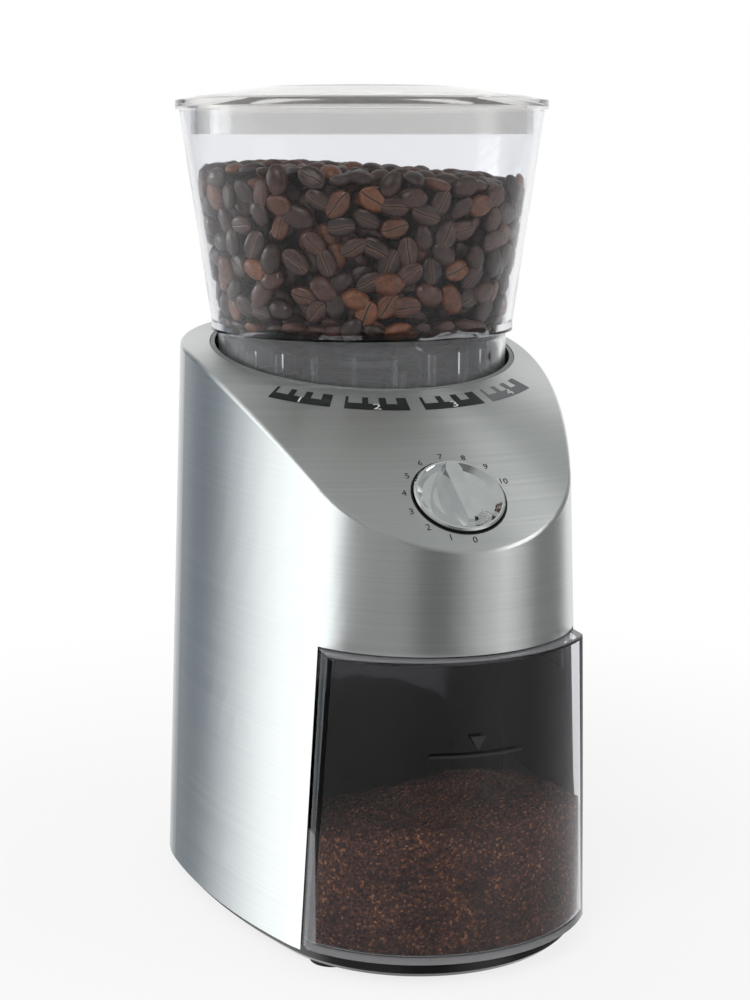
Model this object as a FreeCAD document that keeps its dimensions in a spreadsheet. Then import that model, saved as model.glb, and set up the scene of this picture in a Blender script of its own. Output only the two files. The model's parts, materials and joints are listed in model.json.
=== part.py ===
import FreeCAD, Part
import math
import os
import re
import Sketcher

# Burr coffee grinder with a clear hopper, a timer dial and a sliding grounds container.
# Millimetres, +Z up, front towards -Y, origin on the table under the middle of the object.

DIMENSIONS = [
    # Housing outline at its lower edge, and how it narrows towards the top
    ("half_width", 72.0, "half of the housing's width"),
    ("front_reach", 99.6, "origin to the housing's front"),
    ("back_reach", 101.9, "origin to the housing's back"),
    ("wide_y", 35.1, "where the housing is widest"),
    ("side_radius", 275.5, "plan radius of the sides"),
    ("side_draft", 8.8, "how much each side leans in over the draft height"),
    ("back_draft", 6.3, "how much the back leans in over the draft height"),
    ("draft_height", 208.0, "height over which the drafts are measured"),
    ("shell_bottom", 7.0, "table to the housing's lower edge"),
    ("shell_wall", 2.0, "wall of the housing"),
    ("edge_round", 1.6, "round of the housing's top edge"),
    # Domed top
    ("dome_y", 57.4, "middle of the dome"),
    ("dome_top", 210.0, "highest level of the dome"),
    ("dome_radius", 225.4, "radius of the dome"),
    # Base
    ("foot_height", 2.5, "rubber foot below the base plate"),
    ("foot_radius", 8.0, "radius of a rubber foot"),
    ("foot_peg", 2.5, "radius of the peg that holds a foot"),
    ("foot_front_y", -64.0, "front feet"),
    ("foot_back_y", 62.0, "back feet"),
    ("foot_x", 37.5, "feet to the middle plane"),
    ("base_thick", 6.1, "thickness of the base plate"),
    ("base_gap", 0.5, "gap between base plate and housing wall"),
    ("base_bevel", 1.6, "bevel around the underside of the base plate"),
    # Bay and grounds container
    ("bay_inset_low", 21.2, "housing side to the bay at the housing's lower edge"),
    ("bay_inset_high", 26.9, "housing side to the bay at its top"),
    ("bay_top", 112.6, "level of the bay's ceiling"),
    ("bay_back", -4.0, "back of the bay"),
    ("mouth_back", -55.0, "where the cut for the bay's mouth stops"),
    ("bay_wall", 1.8, "wall of the bay liner"),
    ("slide_gap", 0.6, "gap around the sliding container"),
    ("panel_proud", 2.3, "container front ahead of the housing"),
    ("cup_wall", 2.2, "wall of the container"),
    ("cup_rim", 97.0, "level of the container's side walls"),
    ("cup_step", -68.0, "where the container's side walls step down to that level"),
    ("cup_back_gap", 2.0, "gap behind the container"),
    ("grounds_gap", 0.4, "gap around the ground coffee"),
    ("grounds_level", 58.0, "level of the ground coffee"),
    # Burr axis, grinding chamber and burrs
    ("burr_y", 20.2, "burr and hopper axis"),
    ("well_radius", 55.8, "opening in the dome around the hopper"),
    ("well_gap", 0.2, "gap between well liner and housing"),
    ("well_wall", 1.6, "wall of the well liner"),
    ("well_floor", 176.0, "underside of the well floor"),
    ("well_floor_thick", 2.0, "thickness of the well floor"),
    ("chamber_inner", 34.0, "inside radius of the grinding chamber"),
    ("chamber_wall", 4.0, "wall of the grinding chamber"),
    ("chamber_floor_thick", 4.0, "floor of the grinding chamber"),
    ("chamber_top", 181.0, "top of the grinding chamber"),
    ("chamber_flange", 47.0, "radius of the flange under the well floor"),
    ("chamber_flange_thick", 2.0, "thickness of that flange"),
    ("outlet_width", 24.0, "width of the chamber's outlet"),
    ("outlet_height", 13.0, "height of the chamber's outlet"),
    ("chute_wall", 1.6, "wall of the chute"),
    ("chute_gap", 0.3, "gap between chamber and chute"),
    ("chute_front_y", -52.0, "front of the chute's mouth"),
    ("chute_depth", 17.0, "depth of the chute's mouth"),
    ("carrier_gap", 0.4, "gap around the burr carrier"),
    ("carrier_low", 160.0, "underside of the burr carrier"),
    ("carrier_high", 187.0, "top of the burr carrier"),
    ("ring_burr_outer", 28.0, "outside radius of the ring burr"),
    ("ring_burr_low", 161.5, "underside of the ring burr"),
    ("ring_burr_high", 183.0, "top of the ring burr"),
    ("cone_low_radius", 24.0, "cone burr at its foot"),
    ("cone_high_radius", 11.5, "cone burr at its top"),
    ("cone_low", 153.0, "underside of the cone burr"),
    ("cone_high", 184.0, "top of the cone burr"),
    ("burr_gap", 0.95, "gap between the burrs at the coarse setting"),
    ("burr_tooth", 1.3, "depth of a burr tooth"),
    ("cone_teeth", 32.0, "teeth on the cone burr"),
    ("ring_teeth", 36.0, "teeth in the ring burr"),
    ("burr_twist", 18.0, "lean of the teeth from foot to top, in degrees"),
    ("sweeper_thick", 5.0, "height of the sweeper's arms"),
    ("sweeper_reach", 32.5, "radius swept in the chamber"),
    ("adjust_outer", 48.8, "outside radius of the adjusting ring"),
    ("adjust_gap", 0.8, "gap under the adjusting ring and around the carrier"),
    ("adjust_thick", 6.6, "thickness of the adjusting ring"),
    # Hopper and lid
    ("seat_gap", 0.6, "gap between adjusting ring and hopper"),
    ("collar_radius", 52.6, "outside radius of the hopper's collar"),
    ("hopper_wall", 2.2, "wall of the hopper"),
    ("ring_radius", 55.0, "outside radius of the hopper's lower ring"),
    ("ring_level", 208.3, "lower ring of the hopper"),
    ("ring_height", 3.4, "height of the hopper's lower ring"),
    ("rim_radius", 65.4, "outside radius of the hopper at its rim"),
    ("rim_level", 284.2, "rim of the hopper"),
    ("throat_radius", 22.0, "inside radius of the hopper's throat"),
    ("throat_high", 199.0, "top of the throat"),
    ("rib_depth", 3.4, "depth of the ribs inside the collar"),
    ("rib_thick", 1.2, "thickness of those ribs"),
    ("rib_count", 22.0, "number of those ribs"),
    ("rib_start", 11.76, "first rib beside the front, in degrees"),
    ("bean_gap", 0.5, "gap around the beans"),
    ("bean_level", 260.0, "level of the beans"),
    ("lid_radius", 66.8, "outside radius of the lid"),
    ("lid_gap", 0.4, "gap between rim and lid"),
    ("lid_edge", 3.2, "height of the lid's edge"),
    ("lid_rise", 6.0, "rise of the lid's dome"),
    ("lid_wall", 2.2, "wall of the lid"),
    ("skirt_radius", 61.4, "outside radius of the lid's skirt"),
    ("skirt_depth", 8.5, "depth of the skirt below the lid"),
    # Timer
    ("dial_y", -82.4, "middle of the timer dial"),
    ("dial_radius", 15.2, "radius of the timer dial"),
    ("dial_rim", 0.9, "dial's rim above the dome"),
    ("dial_depth", 6.9, "height of the dial"),
    ("dial_dish", 3.2, "depth of the dial's dish"),
    ("grip_length", 27.6, "length of the grip fin"),
    ("grip_width", 8.4, "width of the grip fin at its foot"),
    ("grip_tip", 4.4, "width of the grip fin at its pointing end"),
    ("grip_height", 5.4, "height of the grip fin"),
    ("seal_gap", 0.3, "gap around the dial"),
    ("seal_width", 0.55, "width of the seal around the dial"),
    ("seal_depth", 2.2, "depth of that seal"),
    ("timer_gap", 1.2, "gap under the dial"),
    ("timer_flange", 17.4, "radius of the timer's flange"),
    ("timer_wall", 1.5, "wall of the timer's flange"),
    ("spindle_radius", 3.0, "radius of the timer spindle"),
    ("spindle_bite", 2.0, "length of the spindle inside the dial"),
    ("timer_radius", 13.0, "radius of the timer's case"),
    ("timer_depth", 16.0, "depth of the timer's case"),
    # Gear case and gears
    ("case_low", 115.0, "underside of the gear case"),
    ("case_floor", 3.0, "floor of the gear case"),
    ("case_wall", 3.0, "wall of the gear case"),
    ("case_cover", 3.0, "thickness of the gear case cover"),
    ("gear_gap", 2.0, "gap beside and between the gears"),
    ("first_face", 7.0, "face width of the first gear pair"),
    ("second_face", 8.0, "face width of the second gear pair"),
    ("first_module", 1.0, "module of the first pair"),
    ("second_module", 1.25, "module of the second pair"),
    ("pinion_teeth", 10.0, "teeth of the motor pinion"),
    ("wheel_teeth", 40.0, "teeth of the idler's wheel"),
    ("idler_teeth", 12.0, "teeth of the idler's pinion"),
    ("drive_teeth", 48.0, "teeth of the drive gear"),
    ("backlash", 0.3, "play between teeth"),
    ("motor_back", 39.7, "motor axis to the housing's back"),
    ("running_gap", 0.05, "radial gap of a running fit"),
    ("shaft_radius", 5.0, "radius of the burr shaft"),
    ("bush_wall", 3.0, "wall of a plain bearing"),
    ("idler_pin_radius", 3.0, "radius of the idler's pin"),
    # Posts and screws
    ("post_radius", 3.5, "radius of a support post"),
    ("ear_radius", 8.0, "radius of an ear on the gear case"),
    ("ear_gap", 0.6, "gap between a screw head and the chamber"),
    ("screw_radius", 1.5, "radius of a screw's shank"),
    ("head_radius", 2.9, "radius of a screw's head"),
    ("head_height", 2.2, "height of a screw's head"),
    ("screw_bite", 12.0, "screw length inside a post"),
    # Motor
    ("motor_radius", 27.0, "radius of the motor"),
    ("motor_low", 14.0, "underside of the motor"),
    ("bracket_thick", 5.0, "thickness of a motor bracket"),
    ("core_low", 38.0, "underside of the field core"),
    ("core_height", 40.0, "height of the field core"),
    ("armature_radius", 16.0, "radius of the armature"),
    ("air_gap", 0.4, "gap between armature and field core"),
    ("coil_depth", 6.0, "depth of a field coil"),
    ("coil_width", 22.0, "width of a field coil"),
    ("coil_overhang", 5.0, "field coil beyond the core"),
    ("winding_radius", 13.0, "radius of the armature's winding heads"),
    ("winding_height", 5.5, "height of a winding head"),
    ("commutator_radius", 8.5, "radius of the commutator"),
    ("commutator_low", 22.0, "underside of the commutator"),
    ("commutator_height", 9.0, "height of the commutator"),
    ("brush_gap", 0.3, "gap between brush and commutator"),
    ("brush_length", 6.0, "length of a carbon brush"),
    ("brush_width", 6.0, "width of a carbon brush"),
    ("holder_length", 8.0, "length of a brush holder"),
    ("holder_wall", 2.0, "brush holder beside the brush"),
    ("motor_shaft_radius", 3.0, "radius of the motor shaft"),
    ("fan_low", 90.0, "underside of the cooling fan"),
    ("fan_height", 8.0, "height of the cooling fan"),
    ("fan_radius", 21.0, "radius of the cooling fan"),
    ("fan_blades", 9.0, "blades of the cooling fan"),
    ("fan_hub_wall", 3.0, "wall of the fan's hub"),
    ("fan_blade_thick", 1.2, "thickness of a fan blade and of the fan's disc"),
    ("tie_circle", 24.6, "motor axis to a tie bolt"),
    ("mount_radius", 5.0, "radius of a rubber motor mount"),
    ("mount_inset", 2.0, "motor's edge to a rubber mount"),
    # Interlock and cord entry
    ("plunger_radius", 1.8, "radius of the interlock plunger"),
    ("plunger_circle", 51.4, "burr axis to the plunger"),
    ("plunger_length", 23.0, "length of the plunger"),
    ("plunger_gap", 0.3, "gap between plunger and hopper"),
    ("switch_gap", 2.2, "room under the plunger"),
    ("switch_height", 14.0, "height of the switch"),
    ("switch_width", 18.0, "width of the switch"),
    ("gland_radius", 5.5, "radius of the cord entry"),
    ("gland_flange", 8.0, "radius of its flange"),
    ("gland_bore", 3.2, "radius of its bore"),
    ("gland_x", -28.0, "cord entry beside the middle plane"),
    ("gland_z", 24.0, "level of the cord entry"),
    ("gland_length", 14.0, "length of the cord entry"),
    ("gland_proud", 1.6, "flange outside the housing"),
]

doc = FreeCAD.newDocument("burr_coffee_grinder")
sheet = doc.addObject("Spreadsheet::Sheet", "Sizes")
for row, (alias, number, meaning) in enumerate(DIMENSIONS, start=1):
    sheet.set(f"A{row}", meaning)
    sheet.set(f"B{row}", str(number))
    sheet.setAlias(f"B{row}", alias)
doc.recompute()

ALIASES = {alias for alias, number, meaning in DIMENSIONS}
parts = []


def bound(text):
    """Expression text in which every size points at its cell."""
    return re.sub(r"[a-z][a-z_]*", lambda word: ("Sizes." if word[0] in ALIASES else "") + word[0], text)


def size(text):
    """Number that an expression of sizes has now."""
    return float(sheet.evalExpression(bound(text)))


def bind(thing, **settings):
    """Bind properties to expressions; two underscores stand for a dot."""
    for name, text in settings.items():
        thing.setExpression(name.replace("__", "."), bound(text))
    return thing


def place(thing, x="0", y="0", z="0", tilt=None):
    """Put a piece at sheet expressions, tilted about X where an angle is given."""
    if tilt is not None:
        thing.Placement = FreeCAD.Placement(FreeCAD.Vector(), FreeCAD.Rotation(FreeCAD.Vector(1, 0, 0), 30))
        bind(thing, Placement__Rotation__Angle=tilt)
    return bind(thing, Placement__Base__x=x, Placement__Base__y=y, Placement__Base__z=z)


def finished(thing, label):
    """Keep a piece as a sub-part under its own name."""
    thing.Label = label
    parts.append(thing)
    return thing


# Primitives and booleans

def cylinder(name, radius, height, x="0", y="0", z="0", tilt=None):
    thing = doc.addObject("Part::Cylinder", name)
    bind(thing, Radius=radius, Height=height)
    return place(thing, x, y, z, tilt)


def block(name, length, width, height, x, y, z):
    """Box given by its size and its lowest corner."""
    thing = doc.addObject("Part::Box", name)
    bind(thing, Length=length, Width=width, Height=height)
    return place(thing, x, y, z)


def fuse(name, *things):
    thing = doc.addObject("Part::MultiFuse", name)
    thing.Shapes = list(things)
    return thing


def common(name, *things):
    thing = doc.addObject("Part::MultiCommon", name)
    thing.Shapes = list(things)
    return thing


def cut(name, base, *tools):
    thing = doc.addObject("Part::Cut", name)
    thing.Base = base
    thing.Tool = tools[0] if len(tools) == 1 else fuse(name + "_tools", *tools)
    return thing


def group(name, *things):
    thing = doc.addObject("Part::Compound", name)
    thing.Links = list(things)
    return thing


def tube(name, outer, inner, height, x="0", y="0", z="0", tilt=None):
    """Round piece with a bore all the way through."""
    solid = cylinder(name + "_solid", outer, height, x, y, z, tilt)
    bore = cylinder(name + "_bore", inner, height, x, y, z, tilt)
    return cut(name, solid, bore)


# Sketches and bodies

def new_body(name):
    return doc.addObject("PartDesign::Body", name)


def new_sketch(body, name, plane, level="0"):
    """Sketch on one of the body's own planes, moved along the plane's normal."""
    sketch = body.newObject("Sketcher::SketchObject", name)
    origin_plane = [item for item in body.Origin.OriginFeatures if item.Role == plane][0]
    sketch.AttachmentSupport = (origin_plane, "")
    sketch.MapMode = "FlatFace"
    bind(sketch, AttachmentOffset__Base__z=level)
    return sketch


def pin(sketch, kind, elements, text):
    """Hold one measure of a sketch at an expression."""
    number = sketch.addConstraint(Sketcher.Constraint(kind, *elements, size(text)))
    sketch.setExpression(f"Constraints[{number}]", bound(text))


def pin_point(sketch, geometry, corner, across, up):
    """Hold a point of a sketch at two expressions."""
    pin(sketch, "DistanceX", (-1, 1, geometry, corner), across)
    pin(sketch, "DistanceY", (-1, 1, geometry, corner), up)


def pin_radius(sketch, geometry, text):
    pin(sketch, "Radius", (geometry,), text)


def draw_polygon(sketch, corners):
    """Closed outline of straight sides whose corners are pairs of expressions."""
    spots = [FreeCAD.Vector(size(across), size(up), 0) for across, up in corners]
    first = sketch.GeometryCount
    for number, spot in enumerate(spots):
        sketch.addGeometry(Part.LineSegment(spot, spots[(number + 1) % len(spots)]))
    for number, (across, up) in enumerate(corners):
        after = first + (number + 1) % len(corners)
        sketch.addConstraint(Sketcher.Constraint("Coincident", first + number, 2, after, 1))
        pin_point(sketch, first + number, 1, across, up)


def turned(name, corners, y="0", z="0", tilt=None, x="0"):
    """Body turned about Z from a half section of (radius, level) corners."""
    body = new_body(name)
    sketch = new_sketch(body, name + "_section", "XZ_Plane")
    draw_polygon(sketch, corners)
    turn = body.newObject("PartDesign::Revolution", name + "_turn")
    turn.Profile = sketch
    turn.ReferenceAxis = (sketch, ["V_Axis"])
    turn.Angle = 360
    return place(body, x, y, z, tilt)


def extruded(name, plane, corners, start, length):
    """Body with one straight-sided outline, pushed along the plane's normal."""
    body = new_body(name)
    sketch = new_sketch(body, name + "_outline", plane, start)
    draw_polygon(sketch, corners)
    pad = body.newObject("PartDesign::Pad", name + "_pad")
    pad.Profile = sketch
    return bind(pad, Length=length) and body


# Housing outline: a front arc, a back arc and two long sides that touch both

def end_arc(reach, half):
    """Radius of the front or back arc that touches both sides."""
    return f"((2 * {half} * side_radius - {half}^2 - ({reach})^2) / (2 * (side_radius - ({reach}))))"


def draw_outline(sketch, inset, side_lean="0", back_lean="0"):
    """Housing outline, moved inwards by an inset and leaning in at the sides and the back."""
    half = f"(half_width - ({side_lean}))"
    side_x = f"({half} - side_radius)"
    back_at = f"(back_reach - ({back_lean}))"
    nose = end_arc("front_reach + wide_y", half)
    tail = end_arc(f"{back_at} - wide_y", half)
    ends = []
    for radius, centre_y in ((nose, f"({nose} - front_reach)"), (tail, f"({back_at} - {tail})")):
        share = f"((side_radius - ({inset})) / (side_radius - {radius}))"
        touch = (f"{side_x} - {side_x} * {share}", f"wide_y + ({centre_y} - wide_y) * {share}")
        ends.append((radius, centre_y, touch))
    (nose, nose_y, low), (tail, tail_y, high) = ends
    corners = [(f"-({low[0]})", low[1]), low, high, (f"-({high[0]})", high[1])]
    side, other_side = (side_x, "wide_y", "side_radius"), (f"-{side_x}", "wide_y", "side_radius")
    arcs = [("0", nose_y, nose), side, ("0", tail_y, tail), other_side]
    spots = [FreeCAD.Vector(size(across), size(up), 0) for across, up in corners]
    for number, (across, up, radius) in enumerate(arcs):
        centre = FreeCAD.Vector(size(across), size(up), 0)
        start, end = spots[number] - centre, spots[(number + 1) % 4] - centre
        circle = Part.Circle(centre, FreeCAD.Vector(0, 0, 1), size(f"{radius} - ({inset})"))
        sketch.addGeometry(Part.ArcOfCircle(circle, math.atan2(start.y, start.x), math.atan2(end.y, end.x)))
    for number, (across, up, radius) in enumerate(arcs):
        sketch.addConstraint(Sketcher.Constraint("Coincident", number, 2, (number + 1) % 4, 1))
        pin_radius(sketch, number, f"{radius} - ({inset})")
        pin_point(sketch, number, 1, *corners[number])


def tapered_block(name, inset, low):
    """Solid inside the housing outline, closed above by the dome."""
    body = new_body(name)
    lower = new_sketch(body, name + "_lower", "XY_Plane", low)
    draw_outline(lower, inset)
    upper = new_sketch(body, name + "_upper", "XY_Plane", "shell_bottom + draft_height")
    draw_outline(upper, inset, "side_draft", "back_draft")
    loft = body.newObject("PartDesign::AdditiveLoft", name + "_loft")
    loft.Profile = lower
    loft.Sections = [upper]
    section = new_sketch(body, name + "_dome", "XZ_Plane", "-dome_y")
    centre = "dome_top - dome_radius"
    radius = f"dome_radius - ({inset})"
    reach = "dome_radius * 0.8"
    drop = f"{centre} + sqrt(({radius})^2 - ({reach})^2)"
    above = "dome_top + 40"
    middle = FreeCAD.Vector(0, size(centre), 0)
    arc = Part.Circle(middle, FreeCAD.Vector(0, 0, 1), size(radius))
    low_angle = math.acos(size(reach) / size(radius))
    section.addGeometry(Part.ArcOfCircle(arc, low_angle, math.pi / 2))
    spots = [("0", f"{centre} + {radius}"), ("0", above), (reach, above), (reach, drop)]
    points = [FreeCAD.Vector(size(across), size(up), 0) for across, up in spots]
    for start, end in zip(points, points[1:]):
        section.addGeometry(Part.LineSegment(start, end))
    for number in range(3):
        section.addConstraint(Sketcher.Constraint("Coincident", number, 2, number + 1, 1))
    section.addConstraint(Sketcher.Constraint("Coincident", 3, 2, 0, 1))
    pin_point(section, 0, 3, "0", centre)
    pin_radius(section, 0, radius)
    section.addConstraint(Sketcher.Constraint("PointOnObject", 0, 2, -2))
    pin_point(section, 1, 2, "0", above)
    pin_point(section, 2, 2, reach, above)
    pin(section, "DistanceX", (-1, 1, 0, 1), reach)
    dome = body.newObject("PartDesign::Groove", name + "_top")
    dome.Profile = section
    dome.ReferenceAxis = (section, ["V_Axis"])
    dome.Angle = 360
    return body


def ball(name, radius):
    """Ball on the dome's own centre."""
    thing = doc.addObject("Part::Sphere", name)
    bind(thing, Radius=radius)
    return place(thing, y="dome_y", z="dome_top - dome_radius")


def along_dome(edge):
    """Whether an edge runs between the dome and the sides."""
    if edge.Degenerated:
        return False
    middle = FreeCAD.Vector(0, size("dome_y"), size("dome_top - dome_radius"))
    spots = [edge.valueAt(edge.getParameterByLength(edge.Length * share)) for share in (0.1, 0.5, 0.9)]
    touching = all(abs((spot - middle).Length - size("dome_radius")) < 0.01 for spot in spots)
    seam = all(abs(spot.y - middle.y) < 0.01 for spot in spots)
    return touching and not seam


def rounded_top(body, name):
    """Round the edge between the dome and the sides."""
    doc.recompute()
    base = body.Tip
    edges = [f"Edge{number}" for number, edge in enumerate(base.Shape.Edges, start=1) if along_dome(edge)]
    fillet = body.newObject("PartDesign::Fillet", name)
    fillet.Base = (base, edges)
    bind(fillet, Radius="edge_round")
    return body


# Levels and places that several pieces share

BASE_TOP = "foot_height + base_thick"
CASE_INSIDE = "case_low + case_floor"
FIRST_LOW = f"{CASE_INSIDE} + gear_gap"
SECOND_LOW = f"{FIRST_LOW} + first_face + gear_gap"
COVER_LOW = f"{SECOND_LOW} + second_face + gear_gap"
CHAMBER_LOW = f"{COVER_LOW} + case_cover"
CHAMBER_INSIDE = f"{CHAMBER_LOW} + chamber_floor_thick"
CHAMBER_OUTER = "chamber_inner + chamber_wall"
ADJUST_LOW = "chamber_top + adjust_gap"
ADJUST_HIGH = f"{ADJUST_LOW} + adjust_thick"
HOPPER_LOW = f"{ADJUST_HIGH} + seat_gap"
MOTOR_Y = "back_reach - motor_back"
MOTOR_SPAN = f"({MOTOR_Y} - burr_y)"
MOTOR_HIGH = "case_low"
FIRST_SPAN = "first_module * (pinion_teeth + wheel_teeth) / 2"
SECOND_SPAN = "second_module * (idler_teeth + drive_teeth) / 2"
IDLER_ALONG = f"((({SECOND_SPAN})^2 - ({FIRST_SPAN})^2 + {MOTOR_SPAN}^2) / (2 * {MOTOR_SPAN}))"
IDLER_X = f"-sqrt(({SECOND_SPAN})^2 - {IDLER_ALONG}^2)"
IDLER_Y = f"burr_y + {IDLER_ALONG}"
RING_LOW = "ring_level - ring_height / 2"
RING_HIGH = "ring_level + ring_height / 2"
DIAL_TILT = "asin((dome_y - dial_y) / dome_radius)"
DIAL_Z = "dome_top - dome_radius + sqrt(dome_radius^2 - (dome_y - dial_y)^2)"
DRIVE_ROOM = "second_module * (drive_teeth / 2 + 1) + gear_gap"
WHEEL_ROOM = "first_module * (wheel_teeth / 2 + 1) + gear_gap"
PINION_ROOM = "first_module * (pinion_teeth / 2 + 1) + gear_gap * 3"


def around(x, y, radius, angle):
    """Place at a distance and an angle from an axis."""
    return (f"{x} + ({radius}) * cos({angle} deg)", f"{y} + ({radius}) * sin({angle} deg)")


POST_CIRCLE = f"{CHAMBER_OUTER} + head_radius + ear_gap"
POSTS = [around("0", "burr_y", POST_CIRCLE, angle) for angle in (-10, 190, 43)]
POSTS.append(around(IDLER_X, IDLER_Y, f"{WHEEL_ROOM} + case_wall + ear_gap * 4", 167))
CHAMBER_EARS = POSTS[:3]

# Housing shell: tapered block less its core, the bay's mouth, the well and the small openings

housing_block = rounded_top(tapered_block("housing_block", "0", "shell_bottom"), "housing_round")
housing_core = tapered_block("housing_core", "shell_wall", "shell_bottom")


def bay_prism(name, grow, low, back):
    """Tapered prism through the bay's mouth, from ahead of the housing to a back face."""
    slope = "((bay_inset_high - bay_inset_low) / (bay_top - shell_bottom))"
    high = f"bay_top + ({grow})"
    low_half = f"half_width - bay_inset_low + ({grow}) + {slope} * (shell_bottom - ({low}))"
    high_half = f"half_width - bay_inset_high + ({grow}) - {slope} * ({grow})"
    corners = [
        (f"-({low_half})", low),
        (low_half, low),
        (high_half, high),
        (f"-({high_half})", high),
    ]
    ahead = "front_reach + 20"
    return extruded(name, "XZ_Plane", corners, f"-({back})", f"{ahead} + ({back})")


bay_mouth = bay_prism("bay_mouth", "0", "shell_bottom - 3", "mouth_back")
well_opening = cylinder("well_opening", "well_radius", "dome_top", y="burr_y", z="well_floor")
DIAL_OPENING = "dial_radius + seal_gap + seal_width"
dial_opening = turned("dial_opening", [
    ("0", "-shell_wall * 3"),
    (DIAL_OPENING, "-shell_wall * 3"),
    (DIAL_OPENING, "shell_wall * 3"),
    ("0", "shell_wall * 3"),
], y="dial_y", z=DIAL_Z, tilt=DIAL_TILT)
gland_opening = cylinder(
    "gland_opening", "gland_radius + well_gap", "60", "gland_x", "back_reach - 40", "gland_z", tilt="-90")
finished(
    cut("housing_shell", housing_block, housing_core, bay_mouth, well_opening, dial_opening, gland_opening),
    "housing_shell")

# Base plate with a bevelled underside, feet and screws from below

base_slab = new_body("base_slab")
base_outline = new_sketch(base_slab, "base_outline", "XY_Plane", "foot_height")
draw_outline(base_outline, "shell_wall + base_gap")
base_pad = base_slab.newObject("PartDesign::Pad", "base_pad")
base_pad.Profile = base_outline
bind(base_pad, Length="base_thick")
doc.recompute()
underside = [
    f"Edge{number}"
    for number, edge in enumerate(base_pad.Shape.Edges, start=1)
    if edge.BoundBox.ZMax < size("foot_height") + 0.01
]
base_chamfer = base_slab.newObject("PartDesign::Chamfer", "base_chamfer")
base_chamfer.Base = (base_pad, underside)
bind(base_chamfer, Size="base_bevel")

FEET = [(x, y) for y in ("foot_front_y", "foot_back_y") for x in ("foot_x", "-foot_x")]
foot_solids = []
foot_holes = []
for number, (x, y) in enumerate(FEET):
    pad = cylinder(f"foot_pad_{number}", "foot_radius", "foot_height", x, y)
    peg = cylinder(f"foot_peg_{number}", "foot_peg", "foot_height + base_thick / 2", x, y)
    foot_solids.append(fuse(f"foot_{number}", pad, peg))
    foot_holes.append(cylinder(f"foot_hole_{number}", "foot_peg", "base_thick / 2", x, y, "foot_height"))
screw_holes = []
base_screws = []
for number, (x, y) in enumerate(POSTS):
    hole = cylinder(f"base_hole_{number}", "screw_radius", "base_thick", x, y, "foot_height")
    sink = cylinder(f"base_sink_{number}", "head_radius", "head_height", x, y, "foot_height")
    screw_holes += [hole, sink]
    head = cylinder(f"base_head_{number}", "head_radius", "head_height", x, y, "foot_height")
    shank = cylinder(f"base_shank_{number}", "screw_radius", "base_thick + screw_bite", x, y, "foot_height")
    base_screws.append(fuse(f"base_screw_{number}", head, shank))
finished(cut("base_plate", base_slab, *foot_holes, *screw_holes), "base_plate")
finished(group("rubber_feet", *foot_solids), "rubber_feet")
finished(group("base_screws", *base_screws), "base_screws")

# Bay liner, open to the front and at its foot, with the chute's mouth in its ceiling

liner_outside = bay_prism("liner_outside", "bay_wall", BASE_TOP, "bay_back + bay_wall")
liner_inside = bay_prism("liner_inside", "0", f"{BASE_TOP} - 3", "bay_back")
CHUTE_HALF = "outlet_width / 2"
mouth = block(
    "liner_mouth", "outlet_width + 2 * chute_wall", "chute_depth + 2 * chute_wall + bay_wall", "bay_wall * 3",
    f"-({CHUTE_HALF}) - chute_wall", "chute_front_y - chute_wall", "bay_top - bay_wall")
liner_box = common("liner_box", liner_outside, housing_core)
finished(cut("bay_liner", liner_box, liner_inside, mouth), "bay_liner")

# Chute from the chamber's outlet down through the bay ceiling


def chute_loft(name, grow, above):
    """Loft between the outlet's upright section and the level mouth."""
    body = new_body(name)
    outlet_y = f"burr_y - ({CHAMBER_OUTER}) - chute_gap"
    half = f"{CHUTE_HALF} + ({grow})"
    top = new_sketch(body, name + "_outlet", "XZ_Plane", f"-({outlet_y}) - ({above})")
    low = f"{CHAMBER_INSIDE} - ({grow})"
    high = f"{CHAMBER_INSIDE} + outlet_height + ({grow})"
    draw_polygon(top, [(f"-({half})", low), (half, low), (half, high), (f"-({half})", high)])
    end = new_sketch(body, name + "_mouth", "XY_Plane", f"bay_top - ({above})")
    back = f"chute_front_y + chute_depth + ({grow})"
    front = f"chute_front_y - ({grow})"
    draw_polygon(end, [(f"-({half})", back), (half, back), (half, front), (f"-({half})", front)])
    loft = body.newObject("PartDesign::AdditiveLoft", name + "_loft")
    loft.Profile = top
    loft.Sections = [end]
    loft.Ruled = True
    return body


chute_outside = chute_loft("chute_outside", "chute_wall", "0")
chute_inside = chute_loft("chute_inside", "0", "0.01")
finished(cut("chute", chute_outside, chute_inside), "chute")

# Grinding chamber: cup with an outlet, an upper flange and ears for the long screws

chamber_cup = turned("chamber_cup", [
    ("shaft_radius + running_gap + bush_wall", CHAMBER_LOW),
    (CHAMBER_OUTER, CHAMBER_LOW),
    (CHAMBER_OUTER, "well_floor - chamber_flange_thick"),
    ("chamber_flange", "well_floor - chamber_flange_thick"),
    ("chamber_flange", "well_floor"),
    (CHAMBER_OUTER, "well_floor"),
    (CHAMBER_OUTER, "chamber_top"),
    ("chamber_inner", "chamber_top"),
    ("chamber_inner", CHAMBER_INSIDE),
    ("shaft_radius + running_gap + bush_wall", CHAMBER_INSIDE),
], y="burr_y")
ears = [
    cylinder(f"chamber_ear_{number}", "ear_radius", "case_cover", x, y, CHAMBER_LOW)
    for number, (x, y) in enumerate(CHAMBER_EARS)
]
ear_holes = [
    cylinder(f"chamber_ear_hole_{number}", "screw_radius", "case_cover", x, y, CHAMBER_LOW)
    for number, (x, y) in enumerate(CHAMBER_EARS)
]
ear_room = cylinder("chamber_room", "chamber_inner", "chamber_top", y="burr_y", z=CHAMBER_INSIDE)
outlet = block(
    "chamber_outlet", "outlet_width", "chamber_inner", "outlet_height",
    f"-({CHUTE_HALF})", f"burr_y - ({CHAMBER_OUTER}) - 1", CHAMBER_INSIDE)
chamber_solid = fuse("chamber_solid", chamber_cup, *ears)
finished(cut("grind_chamber", chamber_solid, ear_room, outlet, *ear_holes), "grind_chamber")

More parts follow.
